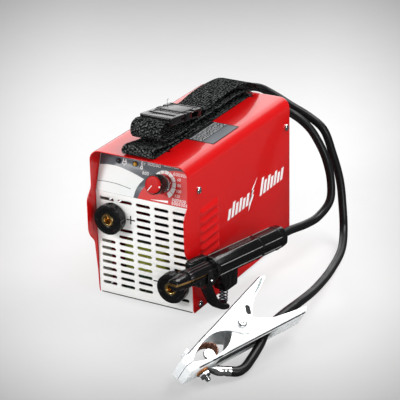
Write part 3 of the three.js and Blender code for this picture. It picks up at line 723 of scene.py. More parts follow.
# A dark grey that paints the shade of the pressed beads on the white clamp arm.
painted_shade_zinc = finish("painted_shade_zinc", (0.2, 0.235, 0.24), 0.45, metallic=0.2, mottle=0.5, mottle_size=3)
chrome = finish("chrome", (0.85, 0.85, 0.87), 0.1, metallic=1.0, mottle=0.02, grain=0.004, smudge=0.04)
brass = finish(
    "brass", (0.78, 0.56, 0.24), 0.24, metallic=1.0, mottle=0.12, mottle_size=4, grain=0.02, grain_size=0.4,
    smudge=0.1
)
label_grey = finish("label_grey", (0.088, 0.1, 0.115), 0.38, mottle=0.04, grain=0.015, grain_size=0.3)
label_white = finish("label_white", (0.74, 0.77, 0.76), 0.36, mottle=0.02, grain=0.015, grain_size=0.3)
label_red = finish("label_red", (0.58, 0.014, 0.012), 0.36, mottle=0.03, grain=0.015, grain_size=0.3)
print_white = finish("print_white", (0.82, 0.82, 0.82), 0.4, mottle=0.02, grain=0.005)
print_black = finish("print_black", (0.015, 0.015, 0.016), 0.4, mottle=0.05, grain=0.005, specular=0.1)
print_pale = finish("print_pale", (0.62, 0.64, 0.65), 0.4, mottle=0.1, grain=0.005)
lens_dark = finish("lens_dark", (0.01, 0.012, 0.014), 0.2, coat=0.0, mottle=0.1, grain=0.002, smudge=0.03)
lens_amber = finish(
    "lens_amber", (0.42, 0.22, 0.02), 0.25, coat=0.0, mottle=0.15, mottle_size=2, grain=0.002, smudge=0.03
)


def bright_zinc_material():
    """Fresh zinc plate: near white, with dark lines of painted shade along the folds and faint blue-grey
    clouds.
    """
    n = Nodes("zinc_bright")
    base = n.mix(n.noise(16, 4), (0.78, 0.82, 0.84), (0.9, 0.91, 0.91))
    # Painted shade: dark lines along the marked folds.
    edge = n.spread(n.attribute("fold"), 0.0, 1.0, 0.25, 0.6)
    color = n.mix(n.maths("MULTIPLY", edge, 0.97), base, (0.012, 0.014, 0.016))
    n.surface(color, n.spread(n.noise(20, 5), 0.2, 0.36, 0.3, 0.7), n.bump(n.noise(1.2, 2), 0.02, 0.6))
    n.feed(n.shader, Metallic=0.15)
    return n.material


zinc_bright = bright_zinc_material()
bronze = finish(
    "bronze", (0.42, 0.26, 0.09), 0.32, metallic=1.0, mottle=0.2, mottle_size=3, grain=0.03, smudge=0.1
)
aluminium = finish(
    "aluminium", (0.7, 0.71, 0.73), 0.34, metallic=1.0, mottle=0.05, grain=0.03, grain_size=0.4
)
tape_yellow = finish(
    "tape_yellow", (0.60, 0.66, 0.08), 0.36, mottle=0.1, mottle_size=5, grain=0.05, grain_size=1.2
)
ferrite = finish("ferrite", (0.05, 0.05, 0.055), 0.5, mottle=0.2, grain=0.05)
copper_wire = finish(
    "copper_wire", (0.62, 0.25, 0.09), 0.3, metallic=0.8, mottle=0.15, mottle_size=2, grain=0.02
)
sleeve = finish("sleeve", (0.02, 0.028, 0.045), 0.3, mottle=0.1, grain=0.01)


def board_material():
    """Green lacquered board with solder pads and faint tracks."""
    n = Nodes("circuit_board")
    cells = n.add("ShaderNodeTexVoronoi", feature="F1")
    n.feed(cells, Vector=n.place, Scale=1 / (4.5 * MM))
    pads = n.spread(cells.outputs["Distance"], 1.0, 0.0, 0.16, 0.2)
    waves = n.add("ShaderNodeTexBrick")
    n.feed(waves, Vector=n.place, Scale=1 / (9 * MM), Mortar_Size=0.012)
    base = n.mix(n.noise(7), (0.012, 0.075, 0.028), (0.02, 0.12, 0.05))
    base = n.mix(waves.outputs["Fac"], base, (0.05, 0.2, 0.09))
    n.surface(n.mix(pads, base, (0.75, 0.75, 0.72)), 0.35, n.bump(pads, 0.15))
    n.join(pads, n.shader.inputs["Metallic"])
    return n.material


def webbing_material():
    """Coarse woven polyester, with painted shade between the raised picks and painted glints on them."""
    n = Nodes("webbing")
    height = n.attribute("weave")
    # Painted shade: darker where the weave is low, lighter on the raised picks.
    tone = n.mix(n.spread(height, 0, 1, 0.4, 0.95), (0.001, 0.001, 0.0012), (0.03, 0.032, 0.033))
    streaks = n.noise(1.5, 1.0, n.stretched(1, 0.45, 1), 0.5)
    picks = n.spread(height, 0.35, 1, 0.35, 0.75)
    # Painted glints: pale streaks on the raised picks.
    painted_glint = n.maths("MULTIPLY", n.spread(streaks, 0, 1, 0.47, 0.6), picks)
    n.surface(n.mix(painted_glint, tone, (0.13, 0.138, 0.135)), 0.9, n.bump(n.noise(0.3, 2), 0.12, 0.8))
    n.feed(n.shader, Specular_IOR_Level=0.0)
    return n.material


def braid_material():
    """Plaited copper wire, with the plait's height from the mesh."""
    n = Nodes("copper_braid")
    height = n.attribute("weave")
    strands = n.maths(
        "MULTIPLY", n.spread(n.noise(1.1, 1), 0, 1, 0.42, 0.56), n.spread(height, 0.4, 1, 0.2, 0.8)
    )
    tone = n.mix(strands, (0.1, 0.025, 0.014), (0.97, 0.52, 0.38))
    n.surface(tone, 0.38, n.bump(n.noise(0.25, 2), 0.06, 0.8))
    n.feed(n.shader, Metallic=0.85)
    return n.material


board = board_material()
webbing = webbing_material()
braid = braid_material()


# ---------- camera, lights and floor ----------
AZIMUTH = math.radians(30.08)
ELEVATION = math.radians(23.714)
ROLL = math.radians(-1.322)
# Focal length and sensor width in millimetres.
LENS = 153.8883
SENSOR = 36
CAMERA_AT = (880.78, -1399.56, 849.28)
# Where each light is, where it aims, its width and height, all in metres, and its power in watts.
LIGHTS = {
    "overhead": ((0.62, 0.62, 1.35), (0.1, 0.0, 0.05), 0.8, 0.8, 20),
    "front_left": ((-0.9, -1.5, 1.0), (0, 0.05, 0.08), 0.7, 0.7, 26),
    "right": ((1.7, -0.5, 0.7), (0.05, 0.1, 0.08), 0.4, 0.7, 11)
}
# Half the floor's width in metres, its grey to the camera and in reflections, and how much of it glows.
FLOOR_HALF = 6
FLOOR_SEEN = 0.86
FLOOR_MIRRORED = (0.07, 0.07, 0.07)
FLOOR_GLOW = 0.72
BRIGHT_SIDE = Vector((-0.46, 0.80, 0.40)).normalized()


def setup_camera():
    """Long lens from the front right, a little above, with a slight roll."""
    level = math.cos(ELEVATION)
    back = Vector((math.sin(AZIMUTH) * level, -math.cos(AZIMUTH) * level, math.sin(ELEVATION)))
    right = Vector((math.cos(AZIMUTH), math.sin(AZIMUTH), 0))
    up = back.cross(right)
    turned_right = right * math.cos(ROLL) + up * math.sin(ROLL)
    turned_up = up * math.cos(ROLL) - right * math.sin(ROLL)
    data = bpy.data.cameras.new("camera")
    data.sensor_width = SENSOR
    data.lens = LENS
    data.clip_start = 0.1
    data.clip_end = 20
    camera = in_scene("camera", data)
    camera.matrix_world = basis(turned_right, turned_up, back, in_metres(*CAMERA_AT))
    bpy.context.scene.camera = camera


def area_light(name, place, target, width, height, power):
    data = bpy.data.lights.new(name, "AREA")
    data.shape = "RECTANGLE"
    data.size, data.size_y = width, height
    data.energy = power
    lamp = in_scene(name, data)
    lamp.location = place
    lamp.rotation_euler = (Vector(target) - Vector(place)).to_track_quat("-Z", "Y").to_euler()


def vignette(n):
    """Brightness of the backdrop: full in the middle of the picture, falling off to its edges."""
    parts = n.add("ShaderNodeSeparateXYZ")
    n.join(n.add("ShaderNodeTexCoord").outputs["Window"], parts.inputs[0])
    shares = []
    for axis, flat, strength, power in (("X", 0.28, 1.227, 1.69), ("Y", 0.13, 1.38, 1.88)):
        away = n.maths("ABSOLUTE", n.maths("SUBTRACT", parts.outputs[axis], 0.5))
        fall = n.maths("POWER", n.maths("MAXIMUM", n.maths("SUBTRACT", away, flat), 0.0), power)
        shares.append(n.maths("SUBTRACT", 1.0, n.maths("MULTIPLY", fall, strength)))
    return n.maths("POWER", n.maths("MULTIPLY", *shares), 2.2)


def floor_material():
    """Pale floor that falls off to the picture's edges, takes faint shadows and is darker in reflections."""
    n = Nodes("floor")
    light = n.add("ShaderNodeLightPath")
    glow = n.add("ShaderNodeEmission")
    matte = n.add("ShaderNodeBsdfDiffuse")
    tone = n.maths("MULTIPLY", vignette(n), n.spread(n.noise(40), 0.97, 1.0))
    seen = n.mix(light.outputs["Is Camera Ray"], (FLOOR_SEEN,) * 3, n.maths("MULTIPLY", tone, FLOOR_SEEN))
    n.join(n.mix(light.outputs["Is Glossy Ray"], seen, FLOOR_MIRRORED), matte.inputs["Color"])
    n.join(tone, glow.inputs["Strength"])
    share = n.maths("MULTIPLY", light.outputs["Is Camera Ray"], FLOOR_GLOW)
    both = n.add("ShaderNodeMixShader")
    for socket, source in enumerate((share, matte.outputs[0], glow.outputs[0])):
        n.join(source, both.inputs[socket])
    n.join(both.outputs[0], n.tree.nodes["Material Output"].inputs["Surface"])
    return n.material


def setup_world():
    """Dim surroundings with one broad bright side behind the machine, seen only by its reflections."""
    world = bpy.data.worlds.new("studio")
    bpy.context.scene.world = world
    world.use_nodes = True
    tree = world.node_tree
    place = tree.nodes.new("ShaderNodeTexCoord").outputs["Generated"]
    facing = tree.nodes.new("ShaderNodeVectorMath")
    facing.operation = "DOT_PRODUCT"
    facing.inputs[1].default_value = BRIGHT_SIDE
    tree.links.new(place, facing.inputs[0])
    level = tree.nodes.new("ShaderNodeMapRange")
    level.interpolation_type = "SMOOTHSTEP"
    for key, value in (("From Min", 0.72), ("From Max", 0.9), ("To Min", 0.05), ("To Max", 1.9)):
        level.inputs[key].default_value = value
    tree.links.new(facing.outputs["Value"], level.inputs["Value"])
    rays = tree.nodes.new("ShaderNodeLightPath")
    chosen = tree.nodes.new("ShaderNodeMix")
    tree.links.new(rays.outputs["Is Glossy Ray"], chosen.inputs[0])
    chosen.inputs[2].default_value = 0.35
    tree.links.new(level.outputs["Result"], chosen.inputs[3])
    background = tree.nodes["Background"]
    background.inputs["Color"].default_value = (1.0, 1.0, 1.0, 1)
    tree.links.new(chosen.outputs[0], background.inputs["Strength"])


def setup_studio():
    setup_world()
    mesh = bpy.data.meshes.new("floor")
    bm = bmesh.new()
    bmesh.ops.create_grid(bm, x_segments=1, y_segments=1, size=FLOOR_HALF)
    bm.to_mesh(mesh)
    bm.free()
    floor = in_scene("floor", mesh)
    floor.data.materials.append(floor_material())
    for name, settings in LIGHTS.items():
        area_light(name, *settings)
    view = bpy.context.scene.view_settings
    view.view_transform = "Standard"
    view.look = "None"


# ---------- cover ----------
def smooth_step(x, low, high):
    t = np.clip((np.asarray(x, float) - low) / (high - low), 0, 1)
    return t * t * (3 - 2 * t)


FOLD_X = SIDE_X - COVER_RADIUS
FOLD_Z = BODY_TOP - COVER_RADIUS
# The side wall's front edge, as depths at heights.
EDGE_Z = [-10, 4, 6, 30, 67, 77, 84, 118, 124, 130, 134, 200]
EDGE_Y = [1.5, 1.5, 0, -1, -5, -14, -16.5, -16.5, -14, -8, -7, -7]


def front_edge(z):
    """Where the side wall's front edge is at a height, with its corners rounded."""
    return np.mean([np.interp(z + offset, EDGE_Z, EDGE_Y) for offset in np.linspace(-3, 3, 9)])


def louvre_bulge(y, z):
    """How far the pressed louvres stand out of the side wall."""
    ends = 1 - smooth_step(abs(y - LOUVRE_Y), 16.5, 21)
    height = 0.0
    for middle in LOUVRES:
        slope = np.interp(z - middle, [-3.3, -2.7, -1.0, 1.0, 3.0, 3.6], [0, 2.8, 2.7, 1.8, 0.3, 0])
        height = max(height, slope)
    return height * ends


def cover_fold(x, start, end):
    """Points round one of the cover's top folds, each with its outward direction."""
    turns = [(math.cos(a), math.sin(a)) for a in np.radians(np.linspace(start, end, 13)[1:-1])]
    return [(x + COVER_RADIUS * c, FOLD_Z + COVER_RADIUS * s, c, s) for c, s in turns]


def build_cover():
    """One sheet over both sides and the top, with open louvre lips and the two strap slots left out."""
    rows_z = set(np.arange(8, 60, 6.0)) | {BODY_FOOT, PANEL_FOOT} | set(np.arange(124, 162, 4.0)) | {FOLD_Z}
    lips = [(middle - 3.3, middle - 2.7) for middle in LOUVRES]
    for middle in LOUVRES:
        rows_z |= {middle + d for d in (-4.2, -3.3, -2.7, -2.2, -1.4, -0.4, 0.6, 1.6, 2.4, 3.0, 3.6, 4.6)}
    rows_z = sorted(rows_z)
    path = [(-SIDE_X, z, -1, 0) for z in rows_z]
    path += cover_fold(-FOLD_X, 180, 90)
    path += [
        (x, BODY_TOP, 0, 1) for x in (-FOLD_X, -40, -31, -22, -15, -7, 1, 9, 15, 20, 28, 36, 42, FOLD_X)
    ]
    path += cover_fold(FOLD_X, 90, 0)
    path += [(SIDE_X, z, 1, 0) for z in reversed(rows_z)]
    columns = [
        8, 11, 13.5, 14.5, 15.5, 16.5, 17.5, 19, 21, 23.5, 26, 28.5, 32, 36, 40, 44, 48, 51, 53, 54.5, 55.5,
        56.5, 57.5, 59, 64, 72
    ]
    columns += list(np.arange(84, 205, 12.0)) + [209.5, 212, 214.5, 219, 223, BODY_DEPTH]
    blend = [0.0, 0.04, 0.12, 0.3, 0.6]
    points, skip = [], set()
    for i, (x, z, nx, nz) in enumerate(path):
        start = front_edge(z)
        depths = [start + (columns[0] - start) * share for share in blend] + columns
        for j, y in enumerate(depths):
            out = louvre_bulge(y, z) if nz == 0 else 0.0
            points.append((x + nx * out, y, z))
        if i + 1 == len(path):
            continue
        x_next, z_next = path[i + 1][:2]
        z_low, z_high = sorted((z, z_next))
        between_straps = z == z_next == BODY_TOP and -22 < (x + x_next) / 2 < 20
        lip = nz == 0 and any(abs(z_low - a) < 0.01 and abs(z_high - b) < 0.01 for a, b in lips)
        for j, (y, y_next) in enumerate(zip(depths, depths[1:])):
            middle = (y + y_next) / 2
            strap_slot = between_straps and (23.5 < middle < 28.5 or 209.5 < middle < 214.5)
            if strap_slot or (lip and abs(middle - LOUVRE_Y) < 18.5):
                skip.add((i, j))
    faces = grid_faces(len(path), len(depths), skip=skip)
    cover = piece("cover_shell", (points, faces), red_paint, slot="red_paint", replaces=["cover"], weld=0)
    solid = cover.modifiers.new("thickness", "SOLIDIFY")
    solid.thickness = SHEET * MM
    solid.offset = -1
    rim = cover.modifiers.new("rim", "BEVEL")
    rim.width = 0.3 * MM
    rim.segments = 2
    rim.limit_method = "ANGLE"
    rim.angle_limit = math.radians(60)
    bake_modifiers(cover, 40)


# ---------- panels ----------
FILM_TOP = 0.5
MARK_LOW = 0.58
MARK_HIGH = 0.64
# The scale round the dial: its ends in degrees, its number of cells and its inner radius.
SCALE_START = 238
SCALE_END = -58
SCALE_CELLS = 12
SCALE_RADIUS = 10.6


def vent_slots():
    """Five columns of slots, with gaps left for the two sockets."""
    blanks = {1: (2, 6), 2: (2, 4), 4: (10, 13), 5: (10, 12)}
    slots = []
    for column in range(1, 6):
        for row in range(1, 14):
            low, high = blanks.get(column, (99, 0))
            if low <= row <= high:
                continue
            slots.append(stadium((column - 3) * 22.63, 117.4 - (row - 1) * 8.34, 17.8, 3.6))
    return slots


def control_holes():
    return [circle(*DIAL, 4.4), circle(*POWER_LED, 2.7), circle(*FAULT_LED, 2.7)]


def clear_of_sockets(hole):
    """Whether a vent slot keeps away from both socket holes, which it would otherwise overlap."""
    return all(min(math.hypot(x - sx, z - sz) for x, z in hole) > 12.2 for sx, sz in SOCKETS.values())


def build_front_panel():
    holes = [slot for slot in vent_slots() if clear_of_sockets(slot)]
    holes += [circle(x, z, 11.2) for x, z in SOCKETS.values()]
    outline = rectangle(-PANEL_HALF, PANEL_FOOT, PANEL_HALF, FOLD_HEIGHT - 0.6)
    lower = moved(prism(outline, 0, PANEL_SHEET, holes, 0.25), XZ)
    outline = round_topped(-PANEL_HALF, 0.4, PANEL_HALF, SLOPE_LENGTH, 11.5)
    upper = moved(prism(outline, -PANEL_SHEET, 0, control_holes(), 0.25), SLOPE)
    fold = []
    for x in (-PANEL_HALF, PANEL_HALF):
        outer = [
            (x, 0, FOLD_HEIGHT - 1.0), (x, 0.01, FOLD_HEIGHT - 0.5), (x, 0.16, FOLD_HEIGHT + 0.2),
            (x, 0.33, FOLD_HEIGHT + 0.9)
        ]
        inner = [(x, y + PANEL_SHEET, z - 0.1) for _, y, z in reversed(outer)]
        fold.append(outer + inner)
    outline = [(0.8, PANEL_FOOT), (24, PANEL_FOOT), (24, 160), (12.2, 160), (0.9, FOLD_HEIGHT)]
    flanges = [side_plate(outline, side, PANEL_HALF - 0.1, PANEL_HALF - PANEL_SHEET) for side in (-1, 1)]
    piece(
        "front_panel_plate", merged(lower, upper, loft(fold), *flanges), white_paint, slot="white_paint",
        replaces=["front_panel"]
    )


def printed(name, solid, material, slot="label_film"):
    return piece(name, solid, material, slot=slot, sharp=20)


def on_label(name, outline, level, material, holes=()):
    """A printed area of the label, a thin layer at a level above the film."""
    low = FILM_TOP + 0.04 * level
    printed(name, moved(ink(outline, low, low + 0.05, holes), SLOPE), material)


def arc_between(points):
    """Smooth curve through a few points in the plane."""
    path = smooth_path([(x, y, 0) for x, y in points], 1.2)
    return [(x, y) for x, y, _ in path]


def ring_segment(radius_in, radius_out, start, end):
    return arc(*DIAL, radius_in, start, end, 6) + arc(*DIAL, radius_out, end, start, 6)


def build_label():
    """Grey film with a white area at the left, a red one at the right and a widening scale round the dial."""
    outline = round_topped(-57.6, 0.9, 57.6, 48.6, 10.5)
    film = moved(prism(outline, 0.1, FILM_TOP, control_holes(), 0.1), SLOPE)
    piece("label_film", film, label_grey, slot="label_film", replaces=["control_label"])
    upper_edge = arc_between([(-57.4, 29.2), (-46, 30.6), (-34, 30.4), (-18, 27.4), (-0.9, 22.6)])
    inner_edge = arc_between([(-0.9, 22.6), (-5.6, 17.0), (-9.2, 10.2), (-11.2, 1.1)])
    on_label("label_white_area", upper_edge + inner_edge[1:] + [(-57.4, 1.1)], 1, label_white)
    red_left = arc_between([(-5.9, 1.1), (-3.6, 8.0), (1.2, 15.6), (7.2, 22.0)])
    red_top = arc_between([(7.2, 22.0), (16, 30.6), (28, 36.2), (40, 38.2), (50.5, 36.6), (57.4, 31.0)])
    on_label("label_red_area", red_left + red_top[1:] + [(57.4, 1.1)], 1, label_red, [circle(*DIAL, 9.4)])
    line = arc_between([(-57.4, 11.6), (-46, 12.4), (-32, 12.0), (-15.5, 9.7)])
    lower = [(x, y - 0.55) for x, y in reversed(line)]
    on_label("label_rule", line + lower, 2, print_black)
    segments = []
    span = (SCALE_START - SCALE_END) / SCALE_CELLS
    for k in range(SCALE_CELLS):
        start = SCALE_START - k * span
        outer = SCALE_RADIUS + 5.4 * (0.3 + 0.7 * k / (SCALE_CELLS - 1))
        outline = ring_segment(SCALE_RADIUS, max(outer, SCALE_RADIUS + 2), start - span + 1.2, start - 1.2)
        segments.append(moved(ink(outline, MARK_LOW, 0.63), SLOPE))
    printed("label_scale", merged(*segments), print_white)


# ---------- dial, lamps and printed marks ----------
def on_panel(x, s):
    """Turned pieces stand out of the leaning panel at a place on it."""
    return SLOPE @ Matrix.Translation((x, s, 0)) @ Matrix.Rotation(math.pi / 2, 4, "X")


def build_dial():
    at = on_panel(*DIAL)
    collar = lathe([
        (0, -12), (8, -12), (8, -1.6), (4, -1.6), (4, 0.9), (9.3, 0.9), (9.5, 1.2), (9.5, 2.6), (8.9, 3.2),
        (8.9, 5.2), (8.6, 5.5), (3.3, 5.5), (3.3, -9), (0, -9)
    ], 56)
    piece("dial_collar", moved(collar, at), chrome, slot="chrome", replaces=["potentiometer"], sharp=30)
    smooth_cad("pot_shaft", steel, 0)
    flutes = 30

    def grip(angle, index):
        return 1 - 0.022 * (0.5 + 0.5 * math.cos(flutes * angle)) if 3 <= index <= 7 else 1

    skirt = lathe([
        (0, 20.4), (3.3, 20.4), (3.3, 7), (9.8, 7), (10.6, 7.8), (10.6, 12), (10.6, 16), (10.6, 20.2),
        (10.3, 21.1), (9.7, 21.5), (9.3, 21.4), (9.2, 21.0), (0, 21)
    ], flutes * 8, grip)
    piece(
        "dial_skirt", moved(skirt, at), black_plastic, "current_knob", "black_plastic", ["knob_skirt"],
        sharp=50
    )
    cap = lathe([(0, 21.3), (9.1, 21.3), (9.1, 22.5), (8.8, 23.0), (8.2, 23.3), (6, 23.4), (0, 23.4)], 64)
    piece("dial_cap", moved(cap, at), red_plastic, "current_knob", "red_plastic", ["knob_cap"], sharp=50)
    face = SLOPE @ Matrix.Translation((*DIAL, 0))
    line = prism(rectangle(1.2, -0.42, 8.4, 0.42, 0.3, 3), 23.36, 23.52, bevel=0.03)
    pointer = moved(line, Matrix.Rotation(math.radians(234), 4, "Z"))
    dot = prism(circle(8.6 * math.cos(-0.12), 8.6 * math.sin(-0.12), 0.95, 20), 23.1, 23.5, bevel=0.08)
    piece("dial_pointer", moved(merged(pointer, dot), face), print_white, "current_knob", "red_plastic")


def build_lamps():
    for name, place, material, slot in (
        ("power_led", POWER_LED, lens_dark, "dark_lens"), ("fault_led", FAULT_LED, lens_amber, "amber_lens")
    ):
        lens = lathe([
            (0, -6), (2.9, -6), (2.9, -4.8), (2.35, -4.8), (2.35, 0.8), (2.2, 1.4), (1.8, 1.95), (1.2, 2.3),
            (0.6, 2.45), (0, 2.5)
        ], 32)
        piece(f"{name}_lens", moved(lens, on_panel(*place)), material, slot=slot, replaces=[name], sharp=45)
        ring = lathe([(2.6, 0.35), (3.3, 0.35), (3.3, 0.8), (3.0, 1.05), (2.6, 1.0), (2.6, 0.35)], 32)
        piece(f"{name}_ring", moved(ring, on_panel(*place)), sleeve, slot="chrome", sharp=45)


def stroke(points, width):
    """A printed line of even width through points in the plane."""
    path = np.array([(x, y) for x, y in points], float)
    direction = np.gradient(path, axis=0)
    direction /= np.linalg.norm(direction, axis=1)[:, None]
    side = np.stack([-direction[:, 1], direction[:, 0]], axis=1) * width / 2
    outline = [tuple(p) for p in path + side] + [tuple(p) for p in (path - side)[::-1]]
    return ink(outline, MARK_LOW, MARK_HIGH)


def frame_mark(x, y, width, height, line):
    """A printed box with a line of even width."""
    outer = rectangle(x - width / 2, y - height / 2, x + width / 2, y + height / 2, 0.5, 2)
    inner = rectangle(
        x - width / 2 + line, y - height / 2 + line, x + width / 2 - line, y + height / 2 - line
    )
    return ink(outer, MARK_LOW, MARK_HIGH, [inner])


def digits(text, size, x, y):
    """Dial figures as a flat printed solid centred on a place."""
    curve = bpy.data.curves.new("figure", "FONT")
    curve.body = text
    curve.size = size
    curve.extrude = (MARK_HIGH - MARK_LOW) / 2
    curve.align_x = "CENTER"
    curve.align_y = "CENTER"
    return shifted(solid_of_curve(curve), x, y, (MARK_HIGH + MARK_LOW) / 2)


def plug_sign(x, y):
    prongs = [stroke([(x + side, y + 0.6), (x + side, y + 3.4)], 0.7) for side in (-1.5, 1.5)]
    return prongs + [frame_mark(x, y - 0.9, 5.0, 3.2, 0.6), stroke([(x, y - 2.4), (x, y - 4.4)], 0.7)]


def thermometer_sign(x, y):
    bulb = ink(circle(x, y - 2.6, 1.7, 20), MARK_LOW, MARK_HIGH, [circle(x, y - 2.6, 0.9, 16)])
    ticks = [stroke([(x + 2.2, y + rise), (x + 3.8, y + rise)], 0.5) for rise in (2.6, 1.0)]
    return [bulb, frame_mark(x, y + 1.3, 2.0, 5.4, 0.5), *ticks]


def build_marks():
    marks = plug_sign(-27.4, 36.6) + thermometer_sign(-5.8, 36.6)
    # figures round the dial
    for text, x, y in (("60", 40.5, 29.0), ("80", 41.5, 23.0), ("100", 41.8, 17.0), ("120", 40.8, 11.8)):
        marks.append(digits(text, 4.4, x, y))
    # rows of blank outlined cells round the scale
    for x, y, count, pitch in (
        (0.5, 39.4, 5, 3.3), (20.5, 41.6, 6, 3.0), (32.5, 34.2, 6, 3.0), (-4.5, 28.9, 3, 2.8),
        (35.0, 7.4, 6, 2.9), (35.0, 3.8, 7, 2.8)
    ):
        for index in range(count):
            width = pitch - (0.7 if index % 3 else 1.2)
            marks.append(frame_mark(x + (index + 0.5) * pitch, y, width, 3.0, 0.5))
    # rising wedge under the dial
    marks.append(ink([(9.0, 2.8), (31.0, 2.8), (31.0, 5.2)], MARK_LOW, MARK_HIGH))
    printed("label_marks", moved(merged(*marks), SLOPE), print_white)


def build_polarity_marks():
    """A plus in three bars beside the upper socket and a minus beside the lower one."""
    plus = [(-20.9, 97.7, -10.5, 99.1), (-16.4, 93.4, -15.0, 97.7), (-16.4, 99.1, -15.0, 103.4)]
    minus = (10.2, 32.0, 18.6, 33.4)
    bars = [moved(ink(rectangle(*bar), -0.06, 0.0), XZ) for bar in (*plus, minus)]
    printed("polarity_marks", merged(*bars), print_black, "white_paint")


# ---------- sockets and screws ----------
def build_sockets():
    """Each socket is a notched black collar round a brass insert with a keyway."""

    def notches(angle, index):
        if not 6 <= index <= 9:
            return 1
        distance = abs((angle / (math.pi / 4)) % 1 - 0.5)
        return 1 - 0.05 * math.exp(-((0.5 - distance) / 0.13) ** 2)

    for name, (x, z) in SOCKETS.items():
        collar = lathe([
            (7.6, -10.6), (8.6, -11.2), (12.2, -11.2), (13.0, -12.0), (15.4, -12.0), (16.6, -11.5),
            (17, -10.6), (17, -8), (17, -4), (17, -2.6), (16.8, -1.2), (15.2, -0.1), (10.6, -0.1),
            (10.6, 5), (7.6, 5), (7.6, -10.6)
        ], 128, notches)
        piece(
            f"collar_{name}", shifted(collar, x, 0, z), black_plastic, slot="black_plastic",
            replaces=[f"socket_collar_{name}"], sharp=42
        )
        insert = lathe([
            (0, 20), (5, 20), (5, 9.4), (9.5, 9.4), (9.5, 5.4), (7.3, 5.4), (7.3, -11.5), (6.9, -12),
            (5.4, -12), (4.7, -11.4), (4.6, -10.8), (4.6, -4), (4.2, -3.6), (4.2, -1.2), (4.6, -0.8),
            (4.6, 8), (0, 8)
        ], 56)
        key = rounded_box(-1.2, 2, -4.5, 1.2, 7.9, -2.2, 0.3)
        piece(
            f"insert_{name}", shifted(merged(insert, key), x, 0, z), brass, slot="brass",
            replaces=[f"socket_insert_{name}"], sharp=35
        )


def screw_solid():
    """Pan head with a cross recess, its axis along +Y outwards."""
    head = lathe([
        (0, -6), (2, -6), (2, 0.05), (3.8, 0.05), (4, 0.3), (4, 1.1), (3.6, 1.8), (2.8, 2.35), (1.8, 2.58),
        (0, 2.6)
    ], 40)
    cross = [rounded_box(-a, 1.2, -b, a, 4, b, 0.05, 1) for a, b in ((2.3, 0.45), (0.45, 2.3))]
    return carved(head, *cross)


def build_screws():
    screw = screw_solid()
    for side_name, side in (("left", -1), ("right", 1)):
        for index, (place, (y, z)) in enumerate(SCREWS.items()):
            turn = Matrix.Translation((side * SIDE_X, y, z)) @ Matrix.Rotation(-side * math.pi / 2, 4, "Z")
            twist = Matrix.Rotation(0.5 + index * 0.9 + side, 4, "Y")
            piece(
                f"screw_{side_name}_{place}", moved(screw, turn @ twist), zinc, slot="zinc_plate",
                replaces=[f"cover_screw_{side_name}_{place}"], sharp=35
            )


# ---------- graphics on the cover ----------
def build_side_graphics():
    """A row of slanted bars and a bolt on each side, in place of any name."""
    outlines = []
    for index, height in enumerate([12, 17, 13, 15, 12, 14, 0, 0, 0, 20, 15, 17, 13, 16, 12, 14]):
        if height:
            y, z, lean = 76 + index * 8.3, 82, height * 0.3
            outlines.append([(y, z), (y + 5.4, z), (y + 5.4 + lean, z + height), (y + lean, z + height)])
    outlines.append([(124, 74), (137, 90), (131, 91.5), (146, 108), (132, 97), (138, 95), (126, 84)])
    for name, side in (("left", -1), ("right", 1)):
        low, high = sorted((side * SIDE_X, side * (SIDE_X + 0.08)))
        prints = [moved(ink(outline, low, high), YZ) for outline in outlines]
        printed(f"side_graphic_{name}", merged(*prints), print_white, "red_paint")


def build_top_field():
    """A dark printed field on top, with rows of dashes and a plain grey strip that paints a sheen on the
    field.
    """
    field_top = BODY_TOP + 0.08
    over_field = (field_top, field_top + 0.04)
    printed("top_field", ink(rectangle(-51, 64, 51, 122, 1.5), BODY_TOP, field_top), print_black)
    # The grey strip is a painted sheen on the glossy field.
    printed("top_field_sheen_strip", ink(rectangle(37, 65.5, 50, 120.5), *over_field), label_grey)
    dashes = []
    lengths = [2.6, 4.0, 1.8, 3.2, 5.0, 2.2, 3.6]
    count = 0
    for row in range(17):
        y = 67 + row * 3.25
        x = 20.5
        while x < 35:
            length = min(lengths[count % len(lengths)], 36 - x)
            if length > 0.8:
                wave = 0.35 * math.sin(count * 1.7)
                dashes.append(ink(rectangle(x, y + wave, x + length, y + 1.15 + wave), *over_field))
            x += length + 1.1
            count += 1
    printed("top_field_lines", merged(*dashes), print_pale)


# ---------- inside the housing ----------
def build_transformer():
    piece("transformer_core", rounded_box(-38, 38, 15.7, -4, 64, 60, 0.8), ferrite, slot="winding_tape")
    rings = []
    for t in np.linspace(0, 1, 25):
        swell = 0.5 * math.sin(math.pi * t) + 0.25 * math.cos(t * 2 * math.pi * 8)
        outline = rectangle(-47.5 - swell, 33 - swell, 5.5 + swell, 69 + swell, 5, 4)
        rings.append([(x, y, 22 + 32 * t) for x, y in outline])
    piece(
        "transformer_winding", loft(rings), tape_yellow, slot="winding_tape", replaces=["transformer"],
        bevel=0.8, bevel_angle=70, sharp=50
    )


def build_choke():
    """A ferrite ring wound with separate turns of wire."""
    centre = (32, 52, 22.3)
    turns = []
    for a in 2 * np.pi * np.arange(34) / 34:
        out = (math.cos(a), math.sin(a), 0)
        middle = ring_path(*centre, 14, 1, (out, (0, 0, 1)))[0]
        turns.append(loop_tube(ring_path(*middle, 5.9, 12, (out, (0, 0, 1))), 0.75, 6))
    core = loop_tube(ring_path(*centre, 14, 48, ((1, 0, 0), (0, 1, 0))), 5.4, 16)
    piece("choke_core", core, ferrite, slot="winding_tape")
    piece("choke_wire", merged(*turns), copper_wire, slot="winding_tape", replaces=["output_choke"])


